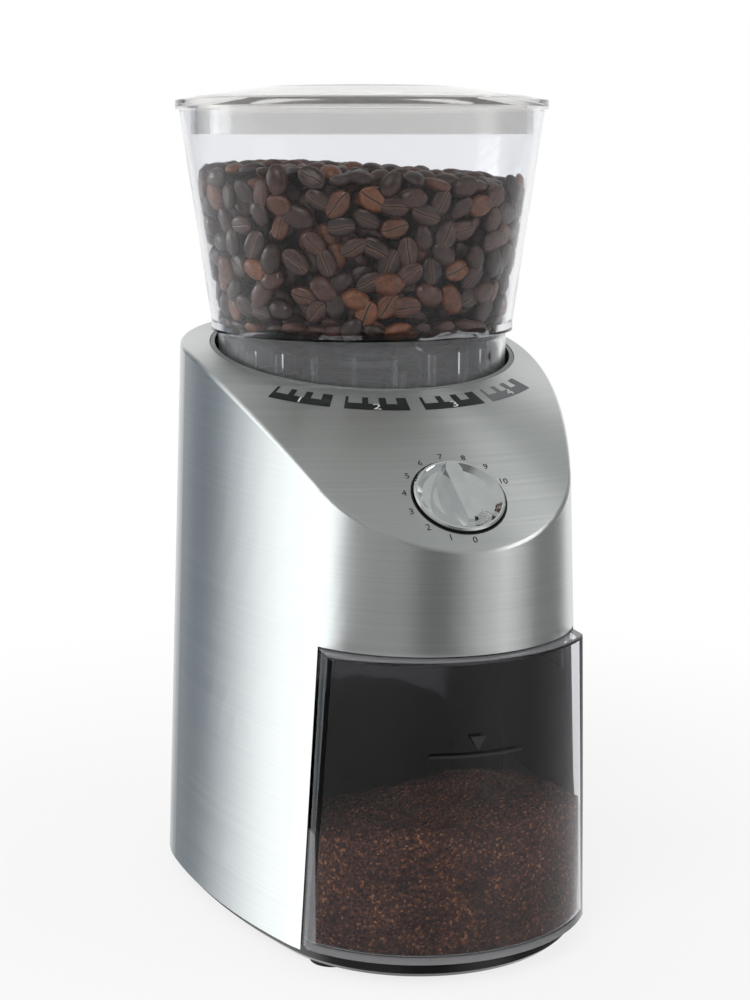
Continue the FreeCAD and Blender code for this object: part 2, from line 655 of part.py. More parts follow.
# Well liner around the hopper's collar, cut level with the dome

liner_cup = turned("well_cup", [
    (CHAMBER_OUTER, "well_floor"),
    ("well_radius - well_gap", "well_floor"),
    ("well_radius - well_gap", RING_LOW + " - seat_gap"),
    ("well_radius - well_gap - well_wall", RING_LOW + " - seat_gap"),
    ("well_radius - well_gap - well_wall", "well_floor + well_floor_thick"),
    (CHAMBER_OUTER, "well_floor + well_floor_thick"),
], y="burr_y")
well_trim = common("well_trim", liner_cup, ball("well_ball", "dome_radius - well_gap"))
plunger_hole = cylinder(
    "plunger_hole", "plunger_radius + running_gap", "well_floor_thick", y="burr_y + plunger_circle",
    z="well_floor")
finished(cut("well_liner", well_trim, plunger_hole), "well_liner")

# Adjusting ring with three dogs that drive the hopper

adjust_body = turned("adjust_body", [
    ("chamber_inner - carrier_gap + adjust_gap", ADJUST_LOW),
    ("adjust_outer", ADJUST_LOW),
    ("adjust_outer", ADJUST_HIGH),
    ("chamber_inner - carrier_gap + adjust_gap", ADJUST_HIGH),
], y="burr_y")
DOG_CIRCLE = "(chamber_inner + adjust_outer) / 2 + 1"
dogs = []
for number in range(3):
    spot = around("0", "burr_y", DOG_CIRCLE, number * 120 + 30)
    dogs.append(cylinder(f"dog_{number}", "2.5", "adjust_thick * 2", *spot, ADJUST_LOW))
finished(fuse("adjust_ring", adjust_body, *dogs), "adjust_ring")

# Burr carrier and the two burrs

finished(turned("burr_carrier", [
    ("ring_burr_outer", "ring_burr_low"),
    ("ring_burr_outer", "ring_burr_high"),
    ("ring_burr_outer", "carrier_high"),
    ("chamber_inner - carrier_gap", "carrier_high"),
    ("chamber_inner - carrier_gap", "carrier_low"),
    ("ring_burr_outer - 1.5", "carrier_low"),
    ("ring_burr_outer - 1.5", "ring_burr_low"),
], y="burr_y"), "burr_carrier")


def toothed_loop(tip, depth, teeth, level, turn):
    """Closed saw-tooth loop around the burr axis."""
    spots = []
    for number in range(int(teeth)):
        for share, radius in ((0.0, tip), (0.65, tip - depth)):
            angle = math.radians(turn) + 2 * math.pi * (number + share) / int(teeth)
            spots.append(FreeCAD.Vector(radius * math.cos(angle), radius * math.sin(angle), level))
    return Part.makePolygon(spots + spots[:1])


def toothed_cone(low_tip, high_tip, low, high, depth, teeth):
    """Solid between two saw-tooth loops, the upper one turned by the teeth's lean."""
    foot = toothed_loop(low_tip, depth, teeth, low, 0)
    top = toothed_loop(high_tip, depth, teeth, high, size("burr_twist"))
    return Part.makeLoft([foot, top], True, True)


def shaped(name, shape, x="0", y="0", z="0"):
    """Piece whose shape comes from a formula."""
    thing = doc.addObject("Part::Feature", name)
    thing.Shape = shape
    return place(thing, x, y, z)


CONE_SLOPE = "((cone_low_radius - cone_high_radius) / (cone_high - cone_low))"


def ring_radius_at(level):
    return size(f"cone_low_radius - {CONE_SLOPE} * (({level}) - cone_low) + burr_gap")


cone_shape = toothed_cone(
    size("cone_low_radius"), size("cone_high_radius"), size("cone_low"), size("cone_high"),
    size("burr_tooth"), size("cone_teeth"))
cone_bore = Part.makeCylinder(size("shaft_radius"), size("cone_high"), FreeCAD.Vector(0, 0, 0))
finished(shaped("cone_burr", cone_shape.cut(cone_bore), y="burr_y"), "cone_burr")

ring_tooth = size("burr_tooth")
ring_blank = Part.makeCylinder(
    size("ring_burr_outer"), size("ring_burr_high - ring_burr_low"),
    FreeCAD.Vector(0, 0, size("ring_burr_low")))
ring_hole = toothed_cone(
    ring_radius_at("ring_burr_low") + ring_tooth, ring_radius_at("ring_burr_high") + ring_tooth,
    size("ring_burr_low"), size("ring_burr_high"), ring_tooth, size("ring_teeth"))
finished(shaped("ring_burr", ring_blank.cut(ring_hole), y="burr_y"), "ring_burr")

# Burr shaft with its sweeper, nut and bearings

finished(cylinder(
    "burr_shaft", "shaft_radius", "cone_high + 4 - case_low", y="burr_y", z="case_low"), "burr_shaft")
finished(tube("burr_nut", "shaft_radius + 3.5", "shaft_radius", "4", y="burr_y", z="cone_high"), "burr_nut")
SWEEPER_LOW = "cone_low - sweeper_thick"
sweeper_hub = cylinder("sweeper_hub", "shaft_radius + 6", "sweeper_thick", y="burr_y", z=SWEEPER_LOW)
arm_across = block(
    "sweeper_arm_across", "2 * sweeper_reach", "sweeper_thick", "sweeper_thick", "-sweeper_reach",
    "burr_y - sweeper_thick / 2", SWEEPER_LOW)
arm_along = block(
    "sweeper_arm_along", "sweeper_thick", "2 * sweeper_reach", "sweeper_thick", "-sweeper_thick / 2",
    "burr_y - sweeper_reach", SWEEPER_LOW)
sweeper_bore = cylinder("sweeper_bore", "shaft_radius", "sweeper_thick", y="burr_y", z=SWEEPER_LOW)
finished(cut("sweeper", fuse("sweeper_arms", sweeper_hub, arm_across, arm_along), sweeper_bore), "sweeper")
BUSH_OUTER = "shaft_radius + running_gap + bush_wall"
finished(tube(
    "lower_bush", BUSH_OUTER, "shaft_radius + running_gap", "case_floor", y="burr_y", z="case_low"),
    "lower_bush")
finished(tube(
    "upper_bush", BUSH_OUTER, "shaft_radius + running_gap", "case_cover + chamber_floor_thick", y="burr_y",
    z=COVER_LOW), "upper_bush")

# Gears


def gear_face(teeth, module, play, turn):
    """Gear outline with involute flanks, its first tooth turned to an angle in degrees."""
    teeth = int(teeth)
    pressure = math.radians(20)
    pitch = module * teeth / 2
    base = pitch * math.cos(pressure)
    tip = pitch + 0.85 * module
    root = max(pitch - 1.2 * module, 1.0)
    half_tooth = math.pi / (2 * teeth) - play / (2 * pitch)
    spread = math.tan(pressure) - pressure

    def flank(radius):
        roll = math.acos(min(1.0, base / radius))
        return half_tooth + spread - (math.tan(roll) - roll)

    start = max(base, root)
    radii = [start + (tip - start) * step / 4 for step in range(5)]
    spots = []
    for number in range(teeth):
        middle = math.radians(turn) + 2 * math.pi * number / teeth
        side = [(root, flank(start))] + [(radius, flank(radius)) for radius in radii]
        rising = [(radius, middle - angle) for radius, angle in side]
        falling = [(radius, middle + angle) for radius, angle in reversed(side)]
        for radius, angle in rising + falling:
            spot = FreeCAD.Vector(radius * math.cos(angle), radius * math.sin(angle), 0)
            if not spots or (spot - spots[-1]).Length > 0.001:
                spots.append(spot)
    return Part.Face(Part.makePolygon(spots + spots[:1]))


def gear(teeth, module, turn, face, bore):
    """Spur gear standing on the level plane, with a bore."""
    blank = gear_face(teeth, module, size("backlash"), turn).extrude(FreeCAD.Vector(0, 0, face))
    return blank.cut(Part.makeCylinder(bore, face))


def meshed_turn(own_teeth, mate_turn, mate_teeth, direction):
    """Angle that puts a gap of this gear where the mate's tooth points at it."""
    mate_phase = (direction - mate_turn) * mate_teeth / 360.0
    return direction + 180.0 + (mate_phase + 0.5) * 360.0 / own_teeth


idler_x = size(IDLER_X)
idler_along = size(IDLER_ALONG)
towards_idler = math.degrees(math.atan2(idler_along, idler_x))
towards_motor = math.degrees(math.atan2(size(MOTOR_SPAN) - idler_along, -idler_x))
drive_turn = 0.0
idler_turn = meshed_turn(size("idler_teeth"), drive_turn, size("drive_teeth"), towards_idler)
pinion_turn = meshed_turn(size("pinion_teeth"), idler_turn, size("wheel_teeth"), towards_motor)

finished(shaped(
    "drive_gear", gear(size("drive_teeth"), size("second_module"), drive_turn, size("second_face"),
                       size("shaft_radius")),
    y="burr_y", z=SECOND_LOW), "drive_gear")
idler_bore = size("idler_pin_radius + running_gap")
idler_wheel = gear(size("wheel_teeth"), size("first_module"), idler_turn, size("first_face"), idler_bore)
idler_pinion = gear(
    size("idler_teeth"), size("second_module"), idler_turn, size("second_face + gear_gap"), idler_bore)
idler_pinion.translate(FreeCAD.Vector(0, 0, size("first_face")))
finished(shaped("idler_gear", idler_wheel.fuse(idler_pinion), IDLER_X, IDLER_Y, FIRST_LOW), "idler_gear")
finished(shaped(
    "motor_pinion", gear(size("pinion_teeth"), size("first_module"), pinion_turn, size("first_face"),
                         size("motor_shaft_radius")),
    y=MOTOR_Y, z=FIRST_LOW), "motor_pinion")

# Gear case: round rooms for the gears, ears over the support posts, a flat cover

ROOMS = [("0", "burr_y", DRIVE_ROOM), (IDLER_X, IDLER_Y, WHEEL_ROOM), ("0", MOTOR_Y, PINION_ROOM)]


def case_blank(name, low, height):
    """Fused rounds over the gears and the posts."""
    rounds = [
        cylinder(f"{name}_round_{number}", f"{radius} + case_wall", height, x, y, low)
        for number, (x, y, radius) in enumerate(ROOMS)
    ]
    rounds += [
        cylinder(f"{name}_ear_{number}", "ear_radius", height, x, y, low)
        for number, (x, y) in enumerate(POSTS)
    ]
    return fuse(name, *rounds)


def post_holes(name, low, height):
    return [
        cylinder(f"{name}_{number}", "screw_radius", height, x, y, low) for number, (x, y) in enumerate(POSTS)
    ]


case_height = f"({COVER_LOW}) - case_low"
case_rooms = [
    cylinder(f"case_room_{number}", radius, case_height, x, y, CASE_INSIDE)
    for number, (x, y, radius) in enumerate(ROOMS)
]
case_bush_hole = cylinder("case_bush_hole", BUSH_OUTER, "case_floor", y="burr_y", z="case_low")
case_pin_hole = cylinder("case_pin_hole", "idler_pin_radius", "case_floor", IDLER_X, IDLER_Y, "case_low")
case_shaft_hole = cylinder("case_shaft_hole", "motor_shaft_radius * 2", "case_floor", y=MOTOR_Y, z="case_low")
finished(cut(
    "gear_case", case_blank("case_blank", "case_low", case_height), *case_rooms, case_bush_hole,
    case_pin_hole, case_shaft_hole, *post_holes("case_hole", "case_low", case_height)), "gear_case")
cover_bush_hole = cylinder("cover_bush_hole", BUSH_OUTER, "case_cover", y="burr_y", z=COVER_LOW)
cover_pin_hole = cylinder("cover_pin_hole", "idler_pin_radius", "case_cover", IDLER_X, IDLER_Y, COVER_LOW)
finished(cut(
    "gear_case_cover", case_blank("cover_blank", COVER_LOW, "case_cover"), cover_bush_hole, cover_pin_hole,
    *post_holes("cover_hole", COVER_LOW, "case_cover")), "gear_case_cover")
finished(cylinder(
    "idler_pin", "idler_pin_radius", f"({CHAMBER_LOW}) - case_low", IDLER_X, IDLER_Y, "case_low"),
    "idler_pin")

# Support posts and the long screws that clamp the gear case and the chamber to them

post_height = f"case_low - ({BASE_TOP})"
posts = []
stack_screws = []
for number, (x, y) in enumerate(POSTS):
    column = cylinder(f"post_column_{number}", "post_radius", post_height, x, y, BASE_TOP)
    low_hole = cylinder(f"post_low_hole_{number}", "screw_radius", "screw_bite", x, y, BASE_TOP)
    high_hole = cylinder(
        f"post_high_hole_{number}", "screw_radius", "screw_bite", x, y, "case_low - screw_bite")
    posts.append(cut(f"post_{number}", column, low_hole, high_hole))
    seat = f"{CHAMBER_LOW} + case_cover" if (x, y) in CHAMBER_EARS else CHAMBER_LOW
    shank = cylinder(
        f"stack_shank_{number}", "screw_radius", f"{seat} - case_low + screw_bite", x, y,
        "case_low - screw_bite")
    head = cylinder(f"stack_head_{number}", "head_radius", "head_height", x, y, seat)
    stack_screws.append(fuse(f"stack_screw_{number}", shank, head))
finished(group("support_posts", *posts), "support_posts")
finished(group("stack_screws", *stack_screws), "stack_screws")

# Motor, fixed pieces


def motor_tube(name, outer, inner, height, z):
    return tube(name, outer, inner, height, y=MOTOR_Y, z=z)


TIES = [around("0", MOTOR_Y, "tie_circle", angle) for angle in (45, 225)]


def tie_holes(name, height, z):
    return [
        cylinder(f"{name}_tie_{number}", "screw_radius", height, x, y, z)
        for number, (x, y) in enumerate(TIES)
    ]


MOTOR_BUSH = "motor_shaft_radius + running_gap + bush_wall"
HIGH_BRACKET = f"{MOTOR_HIGH} - bracket_thick"
for name, low in (("lower_motor_bracket", "motor_low"), ("upper_motor_bracket", HIGH_BRACKET)):
    disc = cylinder(name + "_disc", "motor_radius", "bracket_thick", y=MOTOR_Y, z=low)
    bush_hole = cylinder(name + "_hole", MOTOR_BUSH, "bracket_thick", y=MOTOR_Y, z=low)
    finished(cut(name, disc, bush_hole, *tie_holes(name, "bracket_thick", low)), name)
finished(group("motor_bushes", *[
    motor_tube(f"motor_bush_{number}", MOTOR_BUSH, "motor_shaft_radius + running_gap", "bracket_thick", low)
    for number, low in enumerate(("motor_low", HIGH_BRACKET))
]), "motor_bushes")
finished(group("tie_bolts", *[
    cylinder(f"tie_bolt_{number}", "screw_radius", f"{MOTOR_HIGH} - motor_low", x, y, "motor_low")
    for number, (x, y) in enumerate(TIES)
]), "tie_bolts")

BORE = "armature_radius + air_gap"
core_ring = motor_tube("core_ring", "motor_radius", BORE, "core_height", "core_low")
coil_solids = []
coil_slots = []
for number, side in enumerate((1, -1)):
    outer_y = f"{MOTOR_Y} - coil_width / 2"
    start = f"{BORE}" if side > 0 else f"-({BORE}) - coil_depth"
    slot_start = f"{BORE} - 4 * air_gap" if side > 0 else start
    coil_slots.append(block(
        f"coil_slot_{number}", "coil_depth + 4 * air_gap", "coil_width", "core_height", slot_start, outer_y,
        "core_low"))
    coil_solids.append(block(
        f"field_coil_{number}", "coil_depth", "coil_width", "core_height + 2 * coil_overhang", start, outer_y,
        "core_low - coil_overhang"))
core_holes = tie_holes("core", "core_height", "core_low")
finished(cut("field_core", core_ring, *coil_slots, *core_holes), "field_core")
finished(group("field_coils", *coil_solids), "field_coils")

BRUSH_START = "commutator_radius + brush_gap"
BRUSH_LOW = "commutator_low + (commutator_height - brush_width) / 2"
brushes = []
holders = []
holder_low = "motor_low + bracket_thick"
holder_height = f"commutator_low + commutator_height - ({holder_low})"
for number, side in enumerate((1, -1)):
    brush_x = BRUSH_START if side > 0 else f"-({BRUSH_START}) - brush_length"
    holder_x = f"{brush_x} + brush_length" if side > 0 else f"{brush_x} - holder_length"
    brushes.append(block(
        f"brush_{number}", "brush_length", "brush_width", "brush_width", brush_x,
        f"{MOTOR_Y} - brush_width / 2", BRUSH_LOW))
    holders.append(block(
        f"holder_{number}", "holder_length", "brush_width + 2 * holder_wall", holder_height, holder_x,
        f"{MOTOR_Y} - brush_width / 2 - holder_wall", holder_low))
finished(group("carbon_brushes", *brushes), "carbon_brushes")
finished(group("brush_holders", *holders), "brush_holders")
MOUNT_CIRCLE = "motor_radius - mount_radius - mount_inset"
finished(group("motor_mounts", *[
    cylinder(
        f"motor_mount_{number}", "mount_radius", f"motor_low - ({BASE_TOP})",
        *around("0", MOTOR_Y, MOUNT_CIRCLE, angle), BASE_TOP)
    for number, angle in enumerate((90, 210, 330))
]), "motor_mounts")

# Motor, turning pieces

finished(cylinder(
    "motor_shaft", "motor_shaft_radius", f"{FIRST_LOW} + first_face + 1 - motor_low", y=MOTOR_Y,
    z="motor_low"), "motor_shaft")
finished(motor_tube(
    "armature_core", "armature_radius", "motor_shaft_radius", "core_height", "core_low"), "armature_core")
finished(group("armature_winding", *[
    motor_tube(f"winding_head_{number}", "winding_radius", "motor_shaft_radius", "winding_height", low)
    for number, low in enumerate(("core_low - winding_height", "core_low + core_height"))
]), "armature_winding")
finished(motor_tube(
    "commutator", "commutator_radius", "motor_shaft_radius", "commutator_height", "commutator_low"),
    "commutator")
fan_hub = cylinder("fan_hub", "motor_shaft_radius + fan_hub_wall", "fan_height", y=MOTOR_Y, z="fan_low")
fan_disc = cylinder("fan_disc", "fan_radius", "fan_blade_thick", y=MOTOR_Y, z="fan_low")
fan_bore = cylinder("fan_bore", "motor_shaft_radius", "fan_height", y=MOTOR_Y, z="fan_low")
fan_blades = []
for number in range(int(size("fan_blades"))):
    angle = number * 360.0 / int(size("fan_blades"))
    root = "(motor_shaft_radius + fan_hub_wall / 4)"
    x = f"{root} * cos({angle} deg) + fan_blade_thick / 2 * sin({angle} deg)"
    y = f"{MOTOR_Y} + {root} * sin({angle} deg) - fan_blade_thick / 2 * cos({angle} deg)"
    blade = block(
        f"fan_blade_{number}", f"fan_radius - {root} - fan_hub_wall / 4", "fan_blade_thick", "fan_height", x, y,
        "fan_low")
    blade.Placement.Rotation = FreeCAD.Rotation(FreeCAD.Vector(0, 0, 1), angle)
    fan_blades.append(blade)
finished(cut("cooling_fan", fuse("fan_wheel", fan_hub, fan_disc, *fan_blades), fan_bore), "cooling_fan")

# Hopper: a cone on a thick ring, a funnel with its throat, and a collar

RING_INNER = "ring_radius - hopper_wall - 1"
finished(turned("hopper", [
    (RING_INNER, RING_LOW),
    ("ring_radius", RING_LOW),
    ("ring_radius", RING_HIGH),
    ("rim_radius", "rim_level"),
    ("rim_radius - hopper_wall", "rim_level"),
    ("ring_radius - hopper_wall", RING_HIGH),
], y="burr_y"), "hopper")
COLLAR_INNER = "(collar_radius - hopper_wall)"
FUNNEL_SLOPE = f"((({RING_LOW}) - throat_high) / ({RING_INNER} - throat_radius))"
FUNNEL_EDGE = f"{RING_LOW} - ({RING_INNER} - {COLLAR_INNER}) * {FUNNEL_SLOPE}"
finished(turned("hopper_funnel", [
    ("throat_radius", HOPPER_LOW),
    ("throat_radius + hopper_wall", HOPPER_LOW),
    ("throat_radius + hopper_wall", "throat_high - hopper_wall"),
    (COLLAR_INNER, f"{RING_LOW} - hopper_wall"),
    (COLLAR_INNER, FUNNEL_EDGE),
    ("throat_radius", "throat_high"),
], y="burr_y"), "hopper_funnel")
finished(turned("hopper_collar", [
    (COLLAR_INNER, HOPPER_LOW),
    ("collar_radius", HOPPER_LOW),
    ("collar_radius", RING_LOW),
    (RING_INNER, RING_LOW),
    (COLLAR_INNER, FUNNEL_EDGE),
], y="burr_y"), "hopper_collar")

# Ribs inside the collar, whose outer corners meet its wall

ribs = place(new_body("collar_ribs"), "0", "burr_y", "0")
rib_sketch = new_sketch(ribs, "collar_rib_outline", "XY_Plane", HOPPER_LOW)
rib_sketch.AttachmentOffset = FreeCAD.Placement(FreeCAD.Vector(), FreeCAD.Rotation(FreeCAD.Vector(0, 0, 1), 10))
bind(rib_sketch, AttachmentOffset__Rotation__Angle="rib_start")
rib_inner = f"{COLLAR_INNER} - rib_depth"
rib_outer = f"sqrt({COLLAR_INNER} ^ 2 - rib_thick ^ 2 / 4)"
draw_polygon(rib_sketch, [
    ("-rib_thick / 2", f"-({rib_outer})"),
    ("rib_thick / 2", f"-({rib_outer})"),
    ("rib_thick / 2", f"-({rib_inner})"),
    ("-rib_thick / 2", f"-({rib_inner})"),
])
rib_pad = ribs.newObject("PartDesign::Pad", "collar_rib")
rib_pad.Profile = rib_sketch
bind(rib_pad, Length=f"{RING_LOW} - hopper_wall - rib_depth - ({HOPPER_LOW})")
rib_ring = ribs.newObject("PartDesign::PolarPattern", "rib_circle")
rib_ring.Originals = [rib_pad]
rib_ring.Axis = (rib_sketch, ["N_Axis"])
rib_ring.Angle = 360
bind(rib_ring, Occurrences="rib_count")
ribs.Tip = rib_ring
finished(ribs, "collar_ribs")

# Beans as one plain solid that fills the hopper

WALL_SLOPE = f"((rim_radius - ring_radius) / (rim_level - ({RING_HIGH})))"
bean_foot = "throat_high + 4"
finished(turned("coffee_beans", [
    ("0", bean_foot),
    (f"throat_radius + (4 - bean_gap * 2) / {FUNNEL_SLOPE}", bean_foot),
    (f"{RING_INNER} - bean_gap", f"{RING_LOW} + bean_gap * 1.5"),
    ("ring_radius - hopper_wall - bean_gap", f"{RING_HIGH} + bean_gap"),
    (f"ring_radius - hopper_wall - bean_gap + {WALL_SLOPE} * (bean_level - ({RING_HIGH}))", "bean_level"),
    ("0", "bean_level + 5"),
], y="burr_y"), "coffee_beans")

# Lid with a low dome and a skirt inside the hopper

LID_LOW = "rim_level + lid_gap"
LID_HIGH = f"{LID_LOW} + lid_edge"
finished(turned("hopper_lid", [
    ("0", f"{LID_HIGH} + lid_rise"),
    ("0", f"{LID_HIGH} + lid_rise - lid_wall"),
    ("skirt_radius * 0.55", f"{LID_HIGH} + lid_rise * 0.72 - lid_wall"),
    ("skirt_radius - lid_wall", f"{LID_LOW} + lid_wall / 2"),
    ("skirt_radius - lid_wall", f"{LID_LOW} - skirt_depth"),
    ("skirt_radius", f"{LID_LOW} - skirt_depth"),
    ("skirt_radius", LID_LOW),
    ("lid_radius", LID_LOW),
    ("lid_radius", LID_HIGH),
    ("lid_radius * 0.88", f"{LID_HIGH} + lid_rise * 0.26"),
    ("lid_radius * 0.5", f"{LID_HIGH} + lid_rise * 0.8"),
], y="burr_y"), "hopper_lid")

# Grounds container: its front follows the housing, its sides follow the bay


def cup_block(name, outline_inset, prism_shrink, low, high, back):
    """Solid inside the moved housing outline and inside a shrunk bay prism."""
    body = new_body(name + "_plan")
    outline = new_sketch(body, name + "_plan_outline", "XY_Plane", low)
    draw_outline(outline, outline_inset)
    pad = body.newObject("PartDesign::Pad", name + "_plan_pad")
    pad.Profile = outline
    bind(pad, Length=f"({high}) - ({low})")
    return common(name, body, bay_prism(name + "_prism", f"-({prism_shrink})", "shell_bottom - 3", back))


CUP_LOW = f"{BASE_TOP} + slide_gap"
CUP_BACK = "bay_back - cup_back_gap"
cup_outside = cup_block("cup_outside", "-panel_proud", "slide_gap", CUP_LOW, "bay_top", CUP_BACK)
cup_inside = cup_block(
    "cup_inside", "cup_wall - panel_proud", "slide_gap + cup_wall", f"{CUP_LOW} + cup_wall", "bay_top + 10",
    f"{CUP_BACK} - cup_wall")
cup_rim_room = block(
    "cup_rim_room", "2 * half_width", "bay_back - cup_step", "bay_top - cup_rim", "-half_width", "cup_step",
    "cup_rim")
finished(cut("grounds_container", cup_outside, cup_inside, cup_rim_room), "grounds_container")
finished(cup_block(
    "ground_coffee", "cup_wall - panel_proud + grounds_gap", "slide_gap + cup_wall + grounds_gap",
    f"{CUP_LOW} + cup_wall + grounds_gap", "grounds_level", f"{CUP_BACK} - cup_wall - grounds_gap"),
    "ground_coffee")

# Timer: dished dial in an opening of the dome, seal around it, spindle and case below

DIAL_SEAT = {"y": "dial_y", "z": DIAL_Z, "tilt": DIAL_TILT}
DIAL_LOW = "dial_rim - dial_depth"
TIMER_TOP = f"{DIAL_LOW} - timer_gap"
timer_solid = turned("timer_solid", [
    ("spindle_radius + running_gap", f"{TIMER_TOP} - timer_depth"),
    ("timer_radius", f"{TIMER_TOP} - timer_depth"),
    ("timer_radius", f"{TIMER_TOP} - timer_wall"),
    ("timer_flange", f"{TIMER_TOP} - timer_wall"),
    ("timer_flange", "0"),
    ("timer_flange - timer_wall", "0"),
    ("timer_flange - timer_wall", TIMER_TOP),
    ("spindle_radius + running_gap", TIMER_TOP),
], **DIAL_SEAT)
finished(common("timer_body", timer_solid, ball("under_dome", "dome_radius - shell_wall")), "timer_body")
seal_ring = turned("seal_ring", [
    ("dial_radius + seal_gap", "-seal_depth"),
    (DIAL_OPENING, "-seal_depth"),
    (DIAL_OPENING, "shell_wall"),
    ("dial_radius + seal_gap", "shell_wall"),
], **DIAL_SEAT)
finished(common("dial_seal", seal_ring, ball("seal_trim", "dome_radius")), "dial_seal")

dial = turned("timer_dial", [
    ("0", f"{DIAL_LOW} + spindle_bite"),
    ("spindle_radius", f"{DIAL_LOW} + spindle_bite"),
    ("spindle_radius", DIAL_LOW),
    ("dial_radius", DIAL_LOW),
    ("dial_radius", "dial_rim - 0.5"),
    ("dial_radius - 0.5", "dial_rim"),
    ("dial_radius - 1.2", "dial_rim"),
    ("dial_radius * 0.8", "dial_rim - dial_dish * 0.5"),
    ("dial_radius * 0.55", "dial_rim - dial_dish * 0.85"),
    ("dial_radius * 0.25", "dial_rim - dial_dish"),
    ("0", "dial_rim - dial_dish"),
], **DIAL_SEAT)
grip_outline = new_sketch(dial, "grip_outline", "XY_Plane", "dial_rim - dial_dish - 0.5")
draw_polygon(grip_outline, [
    ("-grip_tip / 2", "-grip_length / 2"),
    ("grip_tip / 2", "-grip_length / 2"),
    ("grip_width / 2", "grip_length / 3"),
    ("grip_width / 3", "grip_length / 2"),
    ("-grip_width / 3", "grip_length / 2"),
    ("-grip_width / 2", "grip_length / 3"),
])
grip = dial.newObject("PartDesign::Pad", "dial_grip")
grip.Profile = grip_outline
grip.TaperAngle = -13
bind(grip, Length="grip_height + 0.5")
finished(dial, "timer_dial")
SPINDLE_DROP = f"(timer_depth - ({TIMER_TOP}))"
finished(cylinder(
    "timer_spindle", "spindle_radius", f"{SPINDLE_DROP} + {DIAL_LOW} + spindle_bite",
    y=f"dial_y + {SPINDLE_DROP} * sin({DIAL_TILT})", z=f"{DIAL_Z} - {SPINDLE_DROP} * cos({DIAL_TILT})",
    tilt=DIAL_TILT), "timer_spindle")

# Interlock: a plunger under the hopper's collar and the switch below it

PLUNGER_HIGH = f"{HOPPER_LOW} - plunger_gap"
PLUNGER_Y = "burr_y + plunger_circle"
finished(cylinder(
    "interlock_plunger", "plunger_radius", "plunger_length", y=PLUNGER_Y,
    z=f"{PLUNGER_HIGH} - plunger_length"), "interlock_plunger")
SWITCH_HIGH = f"{PLUNGER_HIGH} - plunger_length - switch_gap"
switch_case = block(
    "switch_case", "switch_width", "switch_width / 2", "switch_height", "-switch_width / 2",
    f"{PLUNGER_Y} - switch_width / 4", f"{SWITCH_HIGH} - switch_height")
switch_stem = block(
    "switch_stem", "switch_width / 3", "switch_width / 2", f"well_floor - ({SWITCH_HIGH}) + switch_height",
    "-switch_width / 2", f"{PLUNGER_Y} - switch_width / 4", f"{SWITCH_HIGH} - switch_height")
finished(fuse("interlock_switch", switch_case, switch_stem), "interlock_switch")

# Cord entry at the back

TAIL = end_arc("back_reach - wide_y", "half_width")
BACK_AT_GLAND = (
    f"back_reach - back_draft * (gland_z - shell_bottom) / draft_height - {TAIL} + sqrt({TAIL}^2 - gland_x^2)"
)


def gland_round(name, radius, length, start):
    return cylinder(name, radius, length, "gland_x", start, "gland_z", tilt="-90")


gland_start = f"{BACK_AT_GLAND} + gland_proud - gland_length"
gland_flange = gland_round("gland_flange", "gland_flange", "gland_proud + 1.2", f"{BACK_AT_GLAND} - 1.2")
gland_stem = gland_round("gland_stem", "gland_radius", "gland_length", gland_start)
gland_bore = gland_round("gland_bore", "gland_bore", "gland_length", gland_start)
gland_fit = cut("gland_fit", gland_flange, housing_block)
finished(cut("cord_gland", fuse("gland_solid", gland_fit, gland_stem), gland_bore), "cord_gland")

doc.recompute()

for thing in doc.Objects:
    if "Invalid" in thing.State or "Error" in thing.State:
        raise RuntimeError(f"{thing.Name} does not compute: {thing.State}")
os.makedirs("parts", exist_ok=True)
for thing in parts:
    if thing.Shape.isNull() or not thing.Shape.isValid():
        raise RuntimeError(f"{thing.Label} has no valid shape")
    thing.Shape.exportStep(f"parts/{thing.Label}.step")
    print(thing.Label, len(thing.Shape.Solids), round(thing.Shape.Volume, 1))
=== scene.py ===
# %% [markdown]
# # Burr coffee grinder
# A brushed steel body carries a clear hopper of roasted beans. A chrome timer dial sits in its domed
# top, and a clear container slides out of the front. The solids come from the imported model. This lesson
# gives them finishes, fills the hopper and the container, and prints the scales.

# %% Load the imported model
import bmesh
import bpy
import json
import math
from mathutils import Matrix, Vector


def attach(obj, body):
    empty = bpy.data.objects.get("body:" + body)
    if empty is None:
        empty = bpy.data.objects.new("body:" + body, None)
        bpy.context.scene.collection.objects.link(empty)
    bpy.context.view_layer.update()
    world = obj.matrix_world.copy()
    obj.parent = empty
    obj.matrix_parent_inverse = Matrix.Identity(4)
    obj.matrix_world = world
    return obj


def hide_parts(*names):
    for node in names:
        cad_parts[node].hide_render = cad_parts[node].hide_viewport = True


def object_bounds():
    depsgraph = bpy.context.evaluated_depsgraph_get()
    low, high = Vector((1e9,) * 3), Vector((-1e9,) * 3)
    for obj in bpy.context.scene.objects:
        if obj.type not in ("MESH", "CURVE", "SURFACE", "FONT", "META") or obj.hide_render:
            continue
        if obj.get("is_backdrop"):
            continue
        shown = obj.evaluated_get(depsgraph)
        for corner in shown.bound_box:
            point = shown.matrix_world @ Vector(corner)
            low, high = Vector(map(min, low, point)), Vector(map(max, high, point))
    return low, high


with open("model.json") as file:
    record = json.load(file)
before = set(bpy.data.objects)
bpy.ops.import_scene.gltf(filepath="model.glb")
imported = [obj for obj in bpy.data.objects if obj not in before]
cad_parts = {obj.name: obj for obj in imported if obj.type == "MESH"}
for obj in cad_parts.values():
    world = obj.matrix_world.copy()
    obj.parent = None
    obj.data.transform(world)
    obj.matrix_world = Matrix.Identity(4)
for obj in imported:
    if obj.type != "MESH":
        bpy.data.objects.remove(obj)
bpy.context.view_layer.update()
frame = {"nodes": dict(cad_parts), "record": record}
MM = 0.001

# %% [markdown]
# ## Places shared with the solids
# The top of the body is part of a ball. The prints on it follow that ball, so its middle and radius are
# kept here together with the hopper's axis and the dial's middle.

